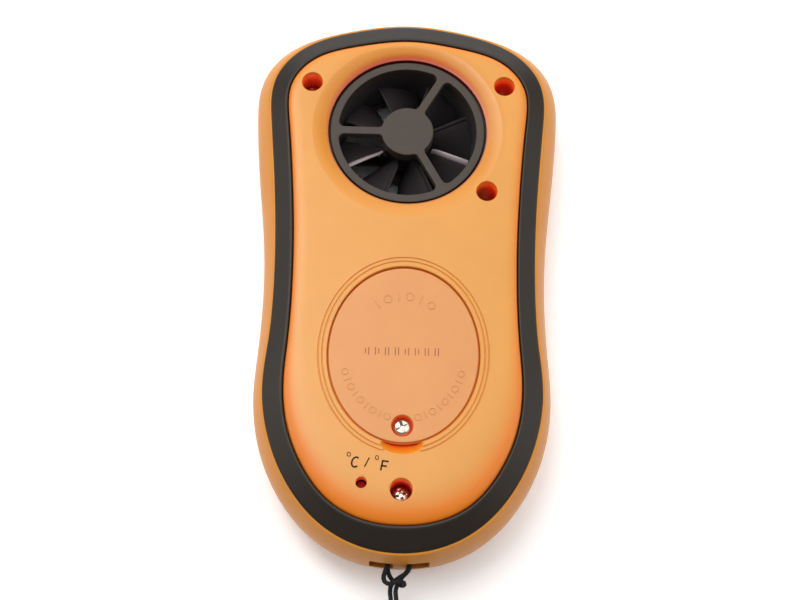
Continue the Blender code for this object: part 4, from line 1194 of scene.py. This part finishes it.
def seven_segments(corner, width, height):
    """Return the middle lines of one display digit's seven bars."""
    x, y = corner
    middle = y + height / 2
    ends = [((x + 0.32, level), (x + width - 0.32, level)) for level in (y, middle, y + height)]
    for side in (x, x + width):
        ends.append(((side, y + 0.37), (side, middle - 0.32)))
        ends.append(((side, middle + 0.32), (side, y + height - 0.37)))
    bars = []
    for start, stop in ends:
        points = np.linspace(start, stop, 4)
        bars.append(np.column_stack([points[:, 0] + DIGIT_LEAN * (points[:, 1] - y), points[:, 1]]))
    return bars


def make_display(made):
    """Front window with its printed border, and the display glass with unlit segments."""
    low, high = node_box("display_window")
    loops = [(0.25, low[2]), (0.06, low[2] + 0.08), (0.0, low[2] + 0.3), (0.0, high[2])]
    rings = [ring(rectangle(low[:2] + e, high[:2] - e, 1.6), z) for e, z in loops]
    dress(build("display_lens", [rings]), made["window"], "case", ["display_window"])
    outer = rectangle(low[:2] + 0.05, high[:2] - 0.05, 1.6, 8)
    inner = rectangle(low[:2] + 3.0, high[:2] - 3.0, 1.0, 8)
    z = high[2] + 0.05
    rings = [ring(outer, z), ring(outer, z + 0.1), ring(inner, z + 0.1), ring(inner, z)]
    dress(build("display_border", [rings], closed=True), made["chip"], "case")
    low, high = node_box("lcd_glass")
    steps = ((0.1, low[2]), (0.0, low[2] + 0.1), (0.0, high[2]))
    rings = [ring(rectangle(low[:2] + e, high[:2] - e, 0.3), z) for e, z in steps]
    dress(build("lcd_cell", [rings]), made["lcd"], "case", ["lcd_glass"])
    left, middle = (low + high)[:2] / 2
    segments = []
    rows = ((3, 4.0, 7.2, -11.5, -0.9, 0.9), (4, 2.2, 3.6, -8.5, -7.0, 0.55))
    for count, width, height, start, drop, share in rows:
        for i in range(count):
            corner = (left + start + i * (width + 2.6), middle + drop)
            for points in seven_segments(corner, width, height):
                segments.append(stroke(points, SEGMENT_WIDTH * share, low[2] - 0.02, 0.012))
    dress(build("lcd_segments", segments), made["segment"], "case", ())


def make_buttons(made):
    """Front buttons: dished caps with a moulded rim and a pale printed sign."""
    for key in ("power", "mode", "set"):
        low, high = node_box(f"{key}_button")
        centre = (low + high)[:2] / 2
        face, top = low[2], high[2]
        profile = [
            (0.4, face + 0.22), (1.6, face + 0.16), (2.6, face + 0.04), (3.1, face), (3.5, face + 0.06),
            (3.8, face + 0.3), (3.9, face + 0.6), (3.9, 2.55), (4.8, 2.55), (4.8, top),
        ]
        piece = build(f"{key}_button_cap", [turned(centre, profile, 64)])
        dress(piece, made["button"], f"{key}_button", [f"{key}_button"])
        shapes = [np.array(points) * [-1, 1] + centre for points in button_sign(key)]
        sign = [stroke(points, 0.3, face + 0.15, 0.08) for points in shapes]
        dress(build(f"{key}_button_sign", sign), made["pale_ink"], f"{key}_button")


def button_sign(key):
    """Return the strokes of a button's plain sign."""
    if key == "power":
        return [arc((0, -0.1), (1.1, 1.1), 120, 420), np.linspace((0, 0.35), (0, 1.45), 4)]
    if key == "mode":
        return [arc((0, 0), (1.2, 1.2), 0, 355, 30), arc((0, 0), (0.35, 0.35), 0, 350, 16)]
    return [np.linspace((-0.9, -0.55), (0, 0.65), 5), np.linspace((0, 0.65), (0.9, -0.55), 5)]


def make_inner_pieces(made):
    """Give the carried-over nodes their finishes."""
    finishes = {
        "impeller_shaft": "steel", "impeller_magnet": "magnet", "rear_bearing": "brass",
        "front_bearing": "brass", "battery_contact_positive": "nickel", "battery_contact_negative": "nickel",
        "battery_door_seal": "seal", "circuit_board": "board", "controller_chip": "chip",
        "rotation_sensor": "chip", "temperature_sensor": "chip", "timing_crystal": "cell",
        "lcd_connector": "seal", "lcd_frame": "white", "unit_switch_body": "chip",
        "unit_switch_plunger": "red",
    }
    for number in range(1, 5):
        finishes[f"board_screw_{number}"] = "steel"
    for key in ("power", "mode", "set"):
        finishes[f"{key}_plunger"] = "red"
        finishes[f"{key}_switch"] = "nickel"
    for node, finish in finishes.items():
        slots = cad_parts[node].material_slots
        for slot in slots:
            slot.material = made[finish]


def make_cell(made):
    """Coin cell: crimped can with a rolled edge, a stepped underside and a raised plus sign."""
    low, high = node_box("coin_cell")
    centre = (low + high)[:2] / 2
    bottom, top = low[2], high[2]
    profile = [
        (8.3, bottom), (8.5, bottom + 0.06), (8.6, bottom + 0.32), (9.3, bottom + 0.34), (9.75, bottom + 0.5),
        (10.0, bottom + 0.9), (10.0, top - 0.25), (9.93, top - 0.08), (9.75, top),
    ]
    piece = build("coin_cell_can", [turned(centre, profile)])
    dress(piece, made["cell"], "case", ["coin_cell"])
    bars = [((-2.2, 0), (2.2, 0)), ((0, -0.5), (0, -2.2)), ((0, 0.5), (0, 2.2))]
    plus = [stroke(np.linspace(centre + start, centre + stop, 4), 0.9, top, 0.06) for start, stop in bars]
    dress(build("coin_cell_plus", plus), made["cell"], "case", ())


# ---------------------------------------------------------------- surroundings

# Name, place and size in metres, and power in watts of each light.
LIGHTS = (
    ("overhead", (0.03, 0.24, 0.62), (0.7, 0.75), 2.7),
    ("key", (-0.22, 0.22, 0.58), (0.2, 0.5), 1.9),
    ("left", (-0.62, 0.05, 0.30), (0.5, 0.9), 1.9),
    ("right", (0.62, 0.05, 0.30), (0.5, 0.9), 2.0),
    ("back", (0.0, 0.75, 0.30), (0.9, 0.4), 2.2),
)
LIGHTS_AIM = (0, 0, 0.01)
FLOOR_HALF = 3.0
FLOOR_GLOW = 0.16             # lifts the floor's shadows, except under the open duct
WORLD_STRENGTH = 0.22


def area_light(name, place, size, power):
    """Soft rectangular light aimed at the meter."""
    data = bpy.data.lights.new(name, "AREA")
    data.shape = "RECTANGLE"
    data.size, data.size_y = size
    data.energy = power
    light = bpy.data.objects.new(name, data)
    aim = Vector(LIGHTS_AIM) - Vector(place)
    light.matrix_world = Matrix.Translation(place) @ aim.to_track_quat("-Z", "Y").to_matrix().to_4x4()
    bpy.context.scene.collection.objects.link(light)


def make_surroundings():
    """Pale floor, white surroundings and soft studio lights."""
    data = bpy.data.meshes.new("floor")
    corners = [(x * FLOOR_HALF, y * FLOOR_HALF, 0) for x, y in ((-1, -1), (1, -1), (1, 1), (-1, 1))]
    data.from_pydata(corners, [], [(0, 1, 2, 3)])
    floor = bpy.data.objects.new("floor", data)
    bpy.context.scene.collection.objects.link(floor)
    nodes = Nodes("floor_paper")
    tone = nodes.ramp(nodes.noise(3.0), [(0.3, (0.93, 0.93, 0.93)), (0.7, (0.96, 0.96, 0.96))])
    under_duct = nodes.near_axis(node_centre("impeller_duct"), 16, 20)
    nodes.link(nodes.spread(under_duct, FLOOR_GLOW, 0.0), nodes.shader.inputs["Emission Strength"])
    data.materials.append(nodes.paint(tone, Roughness=0.9, Emission_Color=(1, 1, 1, 1)))
    world = bpy.data.worlds.new("studio")
    world.use_nodes = True
    background = world.node_tree.nodes["Background"]
    background.inputs["Color"].default_value = (1, 1, 1, 1)
    background.inputs["Strength"].default_value = WORLD_STRENGTH
    bpy.context.scene.world = world
    for light in LIGHTS:
        area_light(*light)
    bpy.context.scene.view_settings.view_transform = "Standard"


def main():
    """Build the whole picture."""
    make_camera()
    made = make_materials()
    make_lanyard(made)
    case, band, panel = case_loops()
    make_front_shell(made, case, band)
    make_band(made, band, panel)
    make_rear_shell(made, band, panel)
    make_door(made)
    make_screw(made, "battery_door_screw", "battery_door")
    for screw in SCREWS:
        make_screw(made, screw, "case")
    make_duct(made)
    make_guard(made, "rear_guard", -1)
    make_guard(made, "front_guard", 1)
    make_impeller(made)
    make_unit_mark(made)
    make_door_print(made)
    make_display(made)
    make_buttons(made)
    make_cell(made)
    make_inner_pieces(made)
    make_surroundings()


main()
